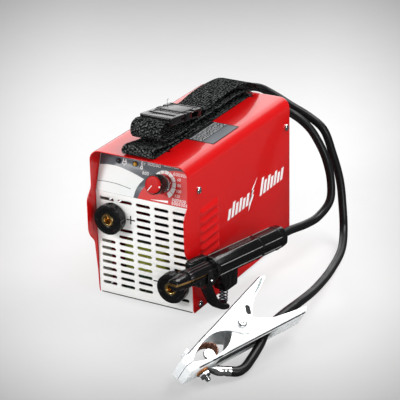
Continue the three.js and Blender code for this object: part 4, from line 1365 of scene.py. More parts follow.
def build_inside():
    for name in ("control_board", "main_board"):
        smooth_cad(name, board, 0.2)
    smooth_cad("base_plate", zinc, 0.3)
    smooth_cad("heat_sink", aluminium, 0.2)
    build_transformer()
    build_choke()
    can = lathe([
        (0, 0), (13.6, 0), (15, 1.2), (15, 2.6), (14.5, 3.4), (15, 4.2), (15, 44.4), (14.2, 45.6), (13, 46),
        (12.6, 45.5), (0, 45.5)
    ], 48)
    stand = Matrix.Translation((32, 89, 15.7)) @ Matrix.Rotation(math.pi / 2, 4, "X")
    piece("capacitor_can", moved(can, stand), sleeve, slot="black_plastic", replaces=["capacitor"])


# ---------- back of the machine ----------
REAR_FACE = REAR_Y + PANEL_SHEET


def build_rear_panel():
    x, z = SWITCH
    holes = [circle(*FAN, 37, 64), circle(*GLAND, 7.6, 32), rectangle(x - 12.5, z - 8.5, x + 12.5, z + 8.5)]
    outline = round_topped(-PANEL_HALF, PANEL_FOOT, PANEL_HALF, BODY_TOP - 1.8, 10.7)
    plate = moved(prism(outline, REAR_Y, REAR_FACE, holes, 0.25), XZ)
    outline = rectangle(204, PANEL_FOOT, REAR_Y + 0.5, 158)
    flanges = [side_plate(outline, side, PANEL_HALF - 0.1, PANEL_HALF - PANEL_SHEET) for side in (-1, 1)]
    piece(
        "rear_panel_plate", merged(plate, *flanges), white_paint, slot="white_paint",
        replaces=["rear_panel"]
    )


def build_fan_guard():
    """Five wire rings on four spokes, with a screw boss at each spoke's end."""
    x, z = FAN
    guard_y = REAR_FACE + 1.0
    wires = [loop_tube(ring_path(x, guard_y, z, radius, 72), 0.8, 10) for radius in (9, 16.5, 24, 31.5, 37)]
    for degrees in (45, 135, 225, 315):
        c, s = math.cos(math.radians(degrees)), math.sin(math.radians(degrees))
        wires.append(tube([(x + r * c, guard_y, z + r * s) for r in (8, 20, 38)], 0.9, 10))
        boss = prism(
            circle(x + 39.5 * c, z + 39.5 * s, 2.6, 20), REAR_FACE + 0.1, REAR_FACE + 1.9, bevel=0.4
        )
        wires.append(moved(boss, XZ))
    piece("fan_guard_wires", merged(*wires), zinc, slot="zinc_plate", replaces=["fan_guard"])


def fan_blade(turn):
    """A cambered blade, twisted and widened from the hub to the tip."""
    camber = (
        (-0.5, 0.0), (-0.25, 0.7), (0.0, 0.85), (0.25, 0.7), (0.5, 0.0), (0.25, -0.5), (0.0, -0.6),
        (-0.25, -0.5)
    )
    rows = []
    for r in np.linspace(13.5, 35.2, 9):
        pitch = math.radians(52 - 0.9 * (r - 13.5))
        chord = 15 + 0.16 * (r - 13.5)
        section = []
        for share, thick in camber:
            along = share * chord
            y = 206.5 + along * math.cos(pitch) - thick * math.sin(pitch)
            sweep = turn + (along * math.sin(pitch) + thick * math.cos(pitch)) / r
            section.append((r * math.cos(sweep), y, r * math.sin(sweep)))
        rows.append(section)
    return loft(rows)


def build_fan():
    build_fan_guard()
    smooth_cad("fan_frame", satin_plastic, 0.4)
    hub = lathe([(0, 198.3), (13.4, 198.3), (15, 199.6), (15, 215.3), (0, 215.3)], 48)
    blades = [fan_blade(turn) for turn in 2 * np.pi * np.arange(7) / 7]
    piece(
        "fan_wheel", shifted(merged(hub, *blades), FAN[0], 0, FAN[1]), satin_plastic, "fan",
        "black_plastic", ["fan_rotor"]
    )


def build_switch():
    """A flanged frame with a concave red rocker, marked with a ring and a bar."""
    hole = rectangle(-10.3, -6.5, 10.3, 6.5, 0.8, 3)
    flange = moved(
        prism(rectangle(-15, -11, 15, 11, 2, 5), REAR_FACE + 0.05, REAR_FACE + 1.8, [hole], 0.5), XZ
    )
    body = moved(prism(rectangle(-12.1, -8.1, 12.1, 8.1), REAR_FACE - 14, REAR_FACE + 0.5, [hole], 0.1), XZ)
    piece(
        "switch_frame", shifted(merged(flange, body), SWITCH[0], 0, SWITCH[1]), black_plastic,
        slot="black_plastic", replaces=["switch_bezel"]
    )
    hollow = [(5.0 + 1.1 * (v / 4.6) ** 2, v) for v in np.linspace(-4, 4, 9)]
    outline = [
        (-5, -2.6), (4.6, -5.2), (6.3, -5.2), (6.1, -4.6), *hollow, (6.1, 4.6), (6.3, 5.2), (4.6, 5.2),
        (-5, 2.6)
    ]
    rocker = moved(prism(outline, -9.9, 9.9, bevel=0.35), YZ)
    tilt = Matrix.Translation((SWITCH[0], 216.5, SWITCH[1])) @ Matrix.Rotation(math.radians(8), 4, "X")
    piece(
        "switch_rocker_cap", moved(rocker, tilt), red_plastic, "power_rocker", "red_plastic",
        ["switch_rocker"]
    )
    signs = [ink(circle(3.1, 0, 1.5, 20), 6.0, 6.12, [circle(3.1, 0, 1.0, 16)])]
    signs.append(ink(rectangle(-4.6, -0.3, -1.6, 0.3), 6.0, 6.12))
    signs = moved(merged(*signs), basis((0, 0, 1), (1, 0, 0), (0, 1, 0)))
    piece(
        "switch_signs", moved(shifted(signs, 0, -0.25, 0), tilt), print_white, "power_rocker", "red_plastic"
    )


def build_cord():
    """Ribbed gland boot, the round cord that leaves it, and a ribbed two-pin plug on the ground."""
    gx, gz = GLAND
    profile = [(4.6, 214), (7.2, 214), (7.2, 222.3), (9.6, 222.4), (10, 222.9), (10, 225.6), (9.6, 226)]
    for k in range(5):
        y = 226.4 + k * 1.8
        r = 8.6 - k * 0.45
        profile += [(r, y), (r, y + 0.9), (r - 1.1, y + 1.1), (r - 1.1, y + 1.7)]
    profile += [(5.2, 235.2), (4.6, 235.4), (4.6, 214)]
    piece(
        "gland_boot", shifted(lathe(profile, 40), gx, 0, gz), rubber, slot="black_plastic",
        replaces=["cord_gland"]
    )
    cord = smooth_path([
        (gx, 212, gz), (gx, 238, gz - 1), (gx - 1, 252, 17), (gx, 268, 4.8), (gx + 6, 284, 3.8),
        (gx, 299, 7.8), (gx - 14, 304, 14), (gx - 22, 304, 18.6)
    ], 1.5)
    piece("mains_cord", tube(cord, 3.5, 20), rubber, slot="black_rubber", replaces=["power_cord"])
    grips = [(0, 0), (4.6, 0), (5, 0.4)]
    for k in range(5):
        y = 1.5 + k * 1.9
        grips += [
            (5.4 + 0.45 * k, y), (5.4 + 0.45 * k, y + 1.0), (4.8 + 0.45 * k, y + 1.2),
            (4.8 + 0.5 * k, y + 1.8)
        ]
    grips += [
        (8.6, 11.5), (12, 16.5), (16.6, 22), (17.6, 23.0), (18.5, 25), (18.5, 36.6), (17.9, 37.7),
        (16.6, 38), (0, 38)
    ]
    pin = lathe([(0, 37), (2.4, 37), (2.4, 46), (2.4, 56), (1.8, 56.8), (1.0, 57.1), (0, 57.2)], 24)
    pins = merged(shifted(pin, -9.5), shifted(pin, 9.5))
    at = Matrix.Translation((gx - 24.4, 304, 18.8)) @ Matrix.Rotation(math.pi / 2, 4, "Z")
    piece("mains_plug", moved(lathe(grips, 48), at), rubber, slot="black_rubber", replaces=["power_plug"])
    piece("mains_plug_pins", moved(pins, at), chrome, slot="black_rubber")


def build_feet():
    for name in ("foot_front_left", "foot_front_right", "foot_rear_left", "foot_rear_right"):
        smooth_cad(name, rubber, 0.5, 3)


# ---------- carrying strap ----------
# The webbing's weave: length of a pick, columns across, different tones, and spacing of points along it.
PICK_LENGTH = 3.5
COLUMN_COUNT = 11
PICK_COUNT = 400
WEAVE_STEP = 0.62
pick_tones = np.random.default_rng(11).random((PICK_COUNT, COLUMN_COUNT))


def weave(along, across):
    """Height from 0 to 1 of slanted picks in columns. across runs from 0 to 1."""
    place = np.clip(across, 0, 0.9999) * COLUMN_COUNT
    column = place.astype(int)
    inside = place - column
    turns = along / PICK_LENGTH + 0.5 * (column % 2) + 0.5 * (inside - 0.5)
    height = (0.5 + 0.5 * np.cos(2 * np.pi * turns)) ** 0.7 * np.sin(np.pi * inside) ** 0.5
    return height * (0.7 + 0.3 * pick_tones[turns.astype(int) % PICK_COUNT, column])


def woven_band(path, x_low, x_high, loose=0.0, start=0.0):
    """Webbing along a path in (y, z), and the weave height of every point."""
    centre = smooth_path([(0, y, z) for y, z in path], WEAVE_STEP)
    outward = outward_of(centre)
    across = np.linspace(0, 1, 5 * COLUMN_COUNT + 3)
    half = (x_high - x_low) / 2
    along = start + WEAVE_STEP * np.arange(len(centre))[:, None] + 4
    height = weave(*np.broadcast_arrays(along, across))
    rim = np.clip((np.abs(across - 0.5) * 2 * half - (half - 0.9)) / 0.9, 0, 1)
    lift = WEBBING / 2 * np.sqrt(np.maximum(1 - rim ** 2, 0)) * (0.45 + 0.55 * height)
    sideways = loose * (0.6 * np.sin(along / 29 + start) + 0.3 * np.sin(along / 12))
    twist = loose * 0.5 * (across - 0.5)[None, :] * np.sin(along / 38 + start)
    middle = centre[:, None, :] + outward[:, None, :] * twist[:, :, None]
    middle = middle + np.array((1.0, 0, 0)) * (x_low + 2 * half * across + sideways)[:, :, None]
    return band_solid(middle, outward, lift, height)


def strap_piece(name, path, replaces, body=ROOT, loose=0.0, start=0.0):
    band, heights = woven_band(path, STRAP_LEFT + 0.3, STRAP_RIGHT - 0.3, loose, start)
    return piece(name, band, webbing, body, "webbing", replaces, weld=0, sharp=180, weave_heights=heights)


def build_strap():
    """Base band on the cover, hemmed tails under it, the loop through the buckle and the arch to the rear."""
    rest = 175.25
    base = [
        (216, rest), (160, rest), (110, rest), (60, rest), (30, rest), (12, rest), (1, rest + 0.2),
        (-5, 177.4), (-6, 181.5), (-1, 184.4), (10, 183.2), (29, 180.2), (60, 178.6), (84, 178.4)
    ]
    strap_piece("strap_base_band", base, ["strap_base"])
    for index, y in enumerate((26, 212)):
        strap_piece(f"strap_tail_{index}", [(y, 166.6), (y, 170), (y, 174.2)], [], start=5)
        hem = rounded_box(STRAP_LEFT + 0.5, y - 3.4, 165.4, STRAP_RIGHT - 0.5, y + 3.4, 169.2, 1.2)
        piece(f"strap_hem_{index}", hem, webbing, slot="webbing")
    loop = [
        (30.4, 205), (22, 206.4), (14.5, 203.6), (12.2, 197), (14.6, 190.4), (22, 186.6), (44, 183.6),
        (67, 183.8), (90, 186.6), (120, 186), (150, 186.6), (190, 185), (214, 179.4)
    ]
    band = strap_piece("strap_loop_band", loop, ["strap_front_loop"], body=None, loose=0.8, start=2)
    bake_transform(band)
    arch = [
        (98.6, 195.6), (112, 192.8), (138, 194.8), (164, 196), (197, 194), (215, 188.6), (228, 181),
        (231, 176.4)
    ]
    strap_piece("strap_arch_band", arch, ["strap_arch"], loose=1.0, start=9)
    thread = [
        (-17, 92, 197), (-19.5, 91, 199.5), (-20.4, 90, 202.5), (-19.2, 89.4, 205.2), (-17.6, 89, 206)
    ]
    thread = smooth_path(thread, 0.4)
    piece("strap_thread", tube(thread, 0.22, 8), webbing, slot="webbing")


# ---------- buckle ----------
BUCKLE = Matrix.Translation((-1, 32, 204)) @ Matrix.Rotation(math.radians(-8.3), 4, "X")


def side_box(side, near, far, y_low, z_low, y_high, z_high):
    """A cutting block on one side of the middle."""
    x_low, x_high = sorted((side * near, side * far))
    return box_solid(x_low, y_low, z_low, x_high, y_high, z_high)


def build_buckle_male():
    """A slotted frame for the strap, with a middle tongue and two hooked prongs."""
    block = prism(rectangle(-19.5, 0, 19.5, 30, 2.6), -4.3, 4.3, bevel=0.9, bevel_steps=3)
    cuts = [box_solid(-16, 4, -6, 16, 10, -1.4), box_solid(-16, 12, -6, 16, 17, 6)]
    cuts += [box_solid(-15, 19.6, 3.1, 15, 27.6, 6)]
    cuts += [side_box(side, 17.6, 21, 22, -1.2, 28, 1.2) for side in (-1, 1)]
    frame_part = carved(block, *cuts)
    lid = prism(rectangle(-14.6, 19.9, 14.6, 27.3, 0.8, 3), 2.9, 3.9, bevel=0.3)
    tongue = rounded_box(-4, 29, -2, 4, 52, 2, 0.5)
    outline = [
        (9, 29), (14, 29), (14.3, 38), (14.6, 44), (16.1, 45.2), (16.6, 46.5), (16.3, 50), (15.6, 53.2),
        (14.6, 54), (12, 54), (11, 53)
    ]
    prongs = [prism([(side * x, y) for x, y in outline], -2.2, 2.2, bevel=0.4) for side in (-1, 1)]
    male = merged(frame_part, lid, tongue, *prongs)
    piece(
        "buckle_male_half", moved(male, BUCKLE), black_plastic, "buckle_half", "black_plastic",
        ["buckle_male"], bevel=0.2, bevel_angle=55
    )


def build_buckle_female():
    """A hollow shell with side windows for the prongs, a raised plate and two small ribs."""
    shell = prism(rectangle(-20, 31, 20, 65, 2.2), -4.6, 4.6, bevel=1.0, bevel_steps=3)
    cuts = [box_solid(-17.2, 28, -2.7, 17.2, 56.5, 2.7), box_solid(-17, 59, -6, 17, 62.4, 6)]
    for side in (-1, 1):
        cuts.append(side_box(side, 15.6, 21.6, 43, -2.7, 56.5, 2.7))
        cuts.append(side_box(side, 15.4, 21, 43, 3.4, 50, 6))
        cuts.append(side_box(side, 15.4, 21, 28, 3.9, 35.5, 6))
    female = carved(shell, *cuts)
    cover_plate = prism(rectangle(-14.6, 32.4, 14.6, 56.6, 1.4, 4), 4.4, 5.3, bevel=0.4)
    ribs = [rounded_box(side * 16.9 - 1.2, 37, 4.3, side * 16.9 + 1.2, 41.6, 5.1, 0.4) for side in (-1, 1)]
    piece(
        "buckle_female_half", moved(merged(female, cover_plate, *ribs), BUCKLE), black_plastic,
        slot="black_plastic", replaces=["buckle_female"], bevel=0.2, bevel_angle=55
    )


# ---------- electrode holder ----------
# Half the grip's width, how far its corners reach past that, its hinge in (y, z), and the spring's place.
GRIP_HALF = 12.5
CORNER_REACH = 1.058
HINGE = (57, -8.5)
SPRING_Y = 93.5
HOLDER = (
    Matrix.Translation((69, -59.3, 65.7)) @ Matrix.Rotation(math.radians(-6.73), 4, "Z")
    @ Matrix.Rotation(math.radians(-5.7), 4, "X")
)


def octagon_ring(y, half_width):
    """Section of the handle with softly rounded corners."""
    ring = []
    for k in range(96):
        angle = 2 * math.pi * k / 96
        away = abs((angle + math.pi / 8) % (math.pi / 4) - math.pi / 8)
        radius = half_width / math.cos(away)
        limit = half_width * CORNER_REACH
        radius = min(radius, limit) - 0.25 * math.exp(-((radius - limit) / 0.25) ** 2)
        ring.append((radius * math.cos(angle), y, radius * math.sin(angle)))
    return ring


def half_bar(rows, side, cut, ribs=0):
    """Half of a round bar along Y, above (side 1) or below (side -1) a flat cut. rows are (y, radius)."""
    rings = []
    for y, radius in rows:
        first = math.asin(cut / radius)
        ring = []
        for angle in np.linspace(first, math.pi - first, 60):
            groove = (0.5 + 0.5 * math.cos(12 * angle)) ** 4 if 0.3 < angle < math.pi - 0.3 else 0
            r = radius - ribs * groove
            ring.append((r * math.cos(angle), y, side * max(r * math.sin(angle), cut)))
        rings.append(ring)
    return loft(rings)


def coil(radius, wire, turns, length):
    """Round wire spring with its axis along Z from the origin, its ends closed up flat."""
    steps = int(turns * 28)
    points = []
    for k in range(steps + 1):
        t = k / steps
        rise = np.interp(t, [0, 0.12, 0.88, 1], [0, 0.05, 0.95, 1])
        angle = 2 * math.pi * turns * t
        points.append((radius * math.cos(angle), radius * math.sin(angle), length * rise))
    return tube(points, wire, 10)


def holder_sleeve():
    """Eight-sided grip with two raised bands and a flange in front, cut away below for the lever."""
    sizes = [
        (66, 0.9), (66.5, 0.97), (67.4, 1.0), (146.4, 1.0), (146.8, 1.03), (147.3, 1.045), (149, 1.045),
        (149.5, 1.03), (149.9, 1.0), (184.4, 1.0), (184.8, 1.03), (185.3, 1.045), (187, 1.045),
        (187.5, 1.03), (187.9, 1.0), (195, 1.0), (196.2, 0.975), (196.8, 0.93), (197, 0.88)
    ]
    grip = loft([octagon_ring(y, GRIP_HALF * size) for y, size in sizes])
    grip = carved(grip, box_solid(-8, 62, -16, 8, 69.5, -9))
    flange = lathe([
        (0, 63), (13.2, 63), (13.9, 63.2), (14.2, 63.8), (14.2, 65.2), (13.9, 65.8), (13.3, 66),
        (13.3, 66.8), (12.9, 67.2), (0, 67.2)
    ], 64)
    return merged(grip, carved(flange, box_solid(-8, 60, -16, 8, 69.5, -9)))


def holder_bracket():
    """Grooved block under the grip that the spring stands against."""
    outline = [(76, -9), (108, -9), (108, -26.4), (106.5, -28), (89, -30.9), (87, -30.4)]
    block = moved(prism(outline, -8, 8, bevel=1.0, bevel_steps=3), YZ)
    grooves = [side_box(side, 7.6, 9.2, y, -26, y + 2, -13) for side in (-1, 1) for y in (80.5, 88, 95.5)]
    return carved(block, *grooves)


def build_holder_rails():
    """Fine raised lines along the corners of the grip, in a pale dotted grey that paints their highlights."""
    rails = []
    reach = GRIP_HALF * CORNER_REACH + 0.05
    for degrees in (67.5, 22.5, -22.5, 112.5, 157.5, 202.5):
        angle = math.radians(degrees)
        for stretch in ((69, 90, 120, 146), (151, 165, 184)):
            line = [(reach * math.cos(angle), y, reach * math.sin(angle)) for y in stretch]
            rails.append(tube(line, 0.45, 10))
    piece("holder_rails", moved(merged(*rails), HOLDER), painted_highlight_plastic, slot="black_plastic")


def build_holder_handle():
    """The fixed half: grip, upper shell and nose, bracket, hinge cheeks and a ribbed thumb rest."""
    shell = half_bar([
        (21, 9.4), (21.4, 9.9), (22.2, 10.2), (30, 10.2), (45, 10.2), (62.6, 10.2), (63.4, 10.2)
    ], 1, 2.1, 0.6)
    nose = half_bar([(1, 5.4), (1.3, 6.2), (2.2, 6.8), (8, 7.3), (15, 8.0), (21.5, 8.6)], 1, 2.1)
    outline = [(50, -9)] + arc(*HINGE, 6.2, 180, 360, 14) + [(64, -9), (64, 4), (50, 4)]
    cheeks = [side_plate(outline, side, 7.9, 10.5, [circle(*HINGE, 2.2, 24)], 0.5) for side in (-1, 1)]
    rest = [rounded_box(-11, 36.4, 4, -2, 64.5, 12.6, 1.2)]
    rest += [rounded_box(-10.6, 38 + k * 3.4, 11.6, -2.4, 40.2 + k * 3.4, 14.3, 0.7) for k in range(8)]
    body = merged(holder_sleeve(), shell, nose, holder_bracket(), *cheeks, *rest)
    piece(
        "holder_grip", moved(body, HOLDER), black_plastic, slot="black_plastic", replaces=["holder_handle"],
        bevel=0.25, bevel_angle=62, sharp=32
    )


def build_holder_jaw():
    teeth = [(-5 + k * 1.25, 0.0 if k % 2 else 0.7) for k in range(9)]
    outline = teeth + [
        (5, 0), (8.4, 20), (8.4, 49), (7.4, 49.2), (7.4, 62), (-7.4, 62), (-7.4, 49.2), (-8.4, 49),
        (-8.4, 20)
    ]
    plate = moved(prism(outline, -0.8, 1.8, bevel=0.3), HOLDER)
    piece("holder_jaw_plate", plate, bronze, slot="brass", replaces=["holder_jaw"])


def lever_tail():
    """The lever's lower end, a rounded bar curving down and back from the hinge."""
    spine = [(50, -7.5), (55, -12), (60.5, -18), (65, -26), (70, -34), (77, -42), (86, -48.2), (97, -51.6)]
    spine = smooth_path([(0, y, z) for y, z in spine], 1.2)
    _, normals, sideways = path_frames(spine, (0.0, 1.0, 0.3))
    section = rectangle(-6.5, -4, 6.5, 4, 2.2, 4)
    shares = np.linspace(0, 1, len(spine))
    swells = np.interp(shares, [0, 0.1, 0.5, 0.94, 0.985, 1], [0.7, 1, 0.95, 0.86, 0.74, 0.4])
    return loft([
        [p + side * x + normal * z * swell for x, z in section] for p, normal, side,
        swell in zip(spine, normals, sideways, swells)
    ])


def build_holder_lever():
    """The squeezed half: lower shell, hinge root, tail and the boss that holds the spring."""
    lower = half_bar([
        (3, 5.6), (3.4, 6.5), (4.4, 7.1), (10, 7.9), (16, 8.6), (21.4, 9.2), (22.4, 9.4), (40, 9.4),
        (48.4, 9.4), (49, 9)
    ], -1, 1.2, 0.5)
    root = rounded_box(-7.3, 40, -13, 7.3, 60, -1.7, 1.4)
    root = carved(root, moved(prism(circle(*HINGE, 2.3, 28), -12, 12, bevel=0), YZ))
    boss = lathe([(0, -0.4), (4.2, -0.4), (4.2, 1.2), (3.6, 2.0), (0, 2.0)], 32)
    boss = moved(boss, Matrix.Translation((0, SPRING_Y, -47.6)) @ Matrix.Rotation(math.pi / 2, 4, "X"))
    lever = merged(lower, root, lever_tail(), boss)
    piece(
        "holder_squeeze_lever", moved(lever, HOLDER), black_plastic, "squeeze_lever", "black_plastic",
        ["holder_lever"], bevel=0.25, bevel_angle=62, sharp=32
    )


def build_holder_pin_and_spring():
    pin = lathe([(0, -10.9), (1.4, -10.9), (2, -10.4), (2, 10.4), (1.4, 10.9), (0, 10.9)], 32)
    pin_at = HOLDER @ Matrix.Translation((0, *HINGE)) @ Matrix.Rotation(math.pi / 2, 4, "Z")
    piece("holder_hinge_pin", moved(pin, pin_at), zinc, slot="zinc_plate", replaces=["holder_pin"])
    wire = moved(shifted(coil(4.2, 0.8, 4.5, 13.2), 0, SPRING_Y, -44.7), HOLDER)
    # The spring takes the dark sleeve colour as painted shade, where the bracket shades it.
    spring = piece("holder_coil", wire, sleeve, None, "zinc_plate", ["holder_spring"], weld=0)
    high, low = [in_metres(0, SPRING_Y, z, HOLDER) for z in (-32, -43.6)]
    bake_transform(spring)
    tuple(high)
    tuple(low)


# ---------- earth clamp ----------
CLAMP = (
    Matrix.Translation((142.8, -57.5, 30.9)) @ Matrix.Rotation(math.radians(77.1), 4, "Z")
    @ Matrix.Rotation(math.radians(-9.06), 4, "Y") @ Matrix.Rotation(math.radians(35.4), 4, "X")
)
# The arms in (u, w): u runs along them from the rivet and w is the height above their meeting plane.
ARM_SHEET = 1.6
ARM_TAPER = 0.149
ARM_AT_RIVET = 20.4
JAW_END = -82.0
UPPER_END = 62.5
LOWER_END = 75.0
BOLT_U = -64.0
UPPER_HALF = 15
LOWER_HALF = 13
PLAIT_STEP = 0.45
SLOT_AT = (18.0, 7.6)
FLIP = Matrix.Scale(-1, 4, (0, 1, 0))
KNUCKLE = (2, -0.5, 11.5)


def back_edge(u):
    """Height of an arm's back at a place along it."""
    return ARM_AT_RIVET + ARM_TAPER * u


def curve_through(a, control, b):
    """Quadratic curve from a to b."""
    return [
        tuple((1 - t) ** 2 * p + 2 * t * (1 - t) * c + t * t * q for p, c, q in zip(a, control, b))
        for t in np.linspace(0, 1, 13)
    ]


def arm_edges(u, handle_end):
    """Lower and upper edge of an arm's side plate at a place along it."""
    knuckle = arc(*KNUCKLE, -153, 0, 20)
    bottom = [(JAW_END - 2, 0.35), (-73, 0.35)]
    bottom += curve_through((-73, 0.35), (-58, 9.4), (-40, 10.2))[1:]
    bottom += curve_through((-40, 10.2), (-22, 11), knuckle[0])[1:]
    bottom += knuckle[1:] + curve_through((14.5, -2), (28, 13), (43, 16.5))
    bottom += [(handle_end, back_edge(handle_end) - 6)]
    low = np.interp(u, [p[0] for p in bottom], [p[1] for p in bottom])
    high = back_edge(u)
    tip = handle_end + 1.2
    round_start = tip - 9
    if u > round_start:
        share = min((u - round_start) / (tip - round_start), 1.0)
        drop = 1 - math.sqrt(max(1 - share * share, 0))
        middle = back_edge(tip) - 6.6
        high -= (back_edge(u) - middle) * drop * 0.96
        low += max(middle - low, 0) * drop * 0.8
    return low, high


def arm_channel(half_width, handle_end):
    """Pressed U-shaped arm with rounded folds, its open side towards w = 0."""
    stretches = [
        np.linspace(JAW_END, -40, 15), np.linspace(-38, -9.2, 12),
        [u for u, _ in arc(*KNUCKLE, -153, 0, 18)], [13.9, 14.5, 15.5, 17],
        np.linspace(19, handle_end - 9, 12),
        handle_end + 1.2 - 9 * (1 - np.sin(np.linspace(0, math.pi / 2, 12)))
    ]
    along = sorted(set(np.round(np.concatenate(stretches), 3)))
    fold = 2.6
    rows = []
    for u in along:
        low, high = arm_edges(u, handle_end)
        r = min(fold, (high - low) * 0.45)
        side = [(half_width, w) for w in np.linspace(low, high - r, 9)]
        corner = [
            (half_width - r + r * math.cos(a), high - r + r * math.sin(a))
            for a in np.linspace(0, math.pi / 2, 6)[1:]
        ]
        top = [(n, high) for n in np.linspace(half_width - r, -(half_width - r), 7)[1:-1]]
        ring = side + corner + top + [(-n, w) for n, w in reversed(side + corner)]
        rows.append([(u, w, n) for n, w in ring])
    surface = (np.vstack([np.array(r) for r in rows]), grid_faces(len(rows), len(rows[0])))
    return thickened(surface, ARM_SHEET)


def jaw_block(half_width):
    """Folded jaw with three teeth across its gripping face."""
    outline = [(JAW_END - 1.5, 0.35)]
    for k in range(3):
        u = JAW_END + 0.6 + 2.5 * k
        outline += [(u, 0.35), (u + 0.5, 1.1), (u + 1.0, 0.35)]
    outline += [(-73, 0.35), (-73, back_edge(-73) - 0.8), (JAW_END - 1.5, back_edge(JAW_END) - 0.8)]
    return prism(outline, -half_width + 0.1, half_width - 0.1, bevel=0.35)


def on_back(side):
    """A frame on the back of an arm at the contact bolt, its Y axis outwards."""
    flip = FLIP if side < 0 else Matrix.Identity(4)
    lean = Matrix.Rotation(math.atan(ARM_TAPER), 4, "Z")
    return flip @ Matrix.Translation((BOLT_U, back_edge(BOLT_U), 0)) @ lean


STANDING = basis((1, 0, 0), (0, 0, -1), (0, 1, 0))
ALONG_N = Matrix.Rotation(math.pi / 2, 4, "X")


def hex_nut(radius, low, high, hole=0.0):
    """Hexagon along Y with chamfered corners."""
    corners = [(radius * math.cos(k * math.pi / 3), radius * math.sin(k * math.pi / 3)) for k in range(6)]
    holes = [circle(0, 0, hole, 28)] if hole else []
    return moved(prism(corners, low, high, holes, 0.5, 2), STANDING)


def braid_band():
    """Flat plait of copper strands, with a crossed diagonal pattern pressed into both faces."""
    path = smooth_path([
        (0, -49, 10.2), (0, -40, 7.4), (0, -34.6, 1.4), (0, -37, -5), (0, -46, -8.6)
    ], PLAIT_STEP)
    across = np.linspace(-1, 1, 33)
    along = PLAIT_STEP * np.arange(len(path))[:, None]
    n = 6 * across[None, :]
    height = np.abs(np.sin(1.15 * (along + n)) * np.sin(1.15 * (along - n))) ** 0.5
    rim = np.sqrt(np.maximum(1 - np.clip((np.abs(across) - 0.84) / 0.16, 0, 1) ** 2, 0))
    frayed = 0.35 * np.sin(along * 2.3) * across * np.abs(across)
    middle = path[:, None, :] + np.array((1.0, 0, 0)) * (n + frayed)[:, :, None]
    (points, faces), heights = band_solid(middle, outward_of(path), (0.4 + 0.75 * height) * rim, height)
    return (points[:, [1, 2, 0]], faces), heights


def paint_fold_shade(arm, half_width, side):
    """Marks the two rounded folds along an arm's back, where the zinc gets dark painted shade."""
    to_local = (Matrix.Translation(DRAWN_FROM) @ Matrix.Scale(MM, 4) @ CLAMP).inverted()
    marks = []
    for vertex in arm.data.vertices:
        u, w, n = to_local @ vertex.co
        near = abs(n) > half_width - 1.3 and side * w > back_edge(u) - 1.3 and u > JAW_END + 9
        marks.append(1.0 if near else 0.0)
    store(arm.data, "fold", marks)


def clamp_arm(name, solids, half_width, side, body, replaces):
    arm = piece(name, moved(merged(*solids), CLAMP), zinc_bright, body, "zinc_plate", replaces, sharp=35)
    paint_fold_shade(arm, half_width, side)


def build_clamp_arms():
    """The upper arm, which opens and holds the bolt's head, and the lower one, slotted for the lead."""
    rivet_hole = prism(circle(0, 0, 3.8, 36), -20, 20, bevel=0)
    finger_slot = prism(round_slot(*SLOT_AT, 11.4, 5.6, 56), 10, 20, bevel=0)
    upper = without_scraps(
        carved(arm_channel(UPPER_HALF, UPPER_END), rivet_hole, finger_slot, crossing=True)
    )
    head = moved(hex_nut(5.6, 0.1, 4.2), on_back(1))
    washer = lathe([(0, -0.1), (6.9, -0.1), (7.2, 0.2), (7.2, 0.9), (6.9, 1.2), (0, 1.2)], 40)
    solids = [upper, jaw_block(UPPER_HALF), head, moved(washer, on_back(1))]
    clamp_arm("clamp_arm_upper", solids, UPPER_HALF, 1, "clamp_arm", ["clamp_upper_arm"])
    bolt_hole = moved(prism(circle(0, 0, 3.3, 28), -5, 4, bevel=0), on_back(-1) @ STANDING)
    cable_slot = prism(rectangle(-46, -9.6, 34, 9.6, 2.5, 4), 10, 40, bevel=0)
    cable_slot = moved(cable_slot, basis((1, 0, 0), (0, 0, 1), (0, -1, 0)))
    lower = moved(arm_channel(LOWER_HALF, LOWER_END), FLIP)
    lower = without_scraps(carved(lower, rivet_hole, bolt_hole, cable_slot, crossing=True))
    solids = [lower, moved(jaw_block(LOWER_HALF), FLIP)]
    clamp_arm("clamp_arm_lower", solids, LOWER_HALF, -1, ROOT, ["clamp_lower_arm"])


def build_clamp_trims():
    """A black plate behind the finger slot as painted shade, pressed beads along the arm in a grey of painted
    shade, and a liner along the lead's slot.
    """
    # A black plate behind the slot paints the shade inside the arm.
    clip = prism(round_slot(*SLOT_AT, 12.4, 6.6, 56), 13.2, 14.0, bevel=0.2)
    piece("finger_slot_shade_plate", moved(clip, CLAMP), print_black, "clamp_arm", "black_rubber")
    middle = smooth_path([(33, 15.4, 0), (42, 18.2, 0), (50, 21.4, 0), (58, 25.2, 0)], 1.0)
    half = np.interp(np.linspace(0, 1, len(middle)), [0, 0.4, 0.75, 0.95, 1], [0.15, 0.9, 1.5, 1.2, 0.5])
    upper_edge = [(x, y + h) for (x, y, _), h in zip(middle, half)]
    lower_edge = [(x, y - h) for (x, y, _), h in zip(middle, half)]
    beads = [prism(upper_edge + lower_edge[::-1], low, low + 0.7, bevel=0.25) for low in (14.9, -15.6)]
    # The beads' grey paints their shade.
    piece("finger_bead", moved(merged(*beads), CLAMP), painted_shade_zinc, "clamp_arm", "zinc_plate")
    (u_start, w_start), (u_end, w_end) = [(u, -(back_edge(u) - 2.6)) for u in (-47, 16)]
    liner = [(u_start, w_start), (u_end, w_end), (u_end, w_end + 1.4), (u_start, w_start + 1.4)]
    piece(
        "cable_slot_liner", moved(prism(liner, -10.6, 10.6, bevel=0.3), CLAMP), rubber, slot="black_rubber"
    )


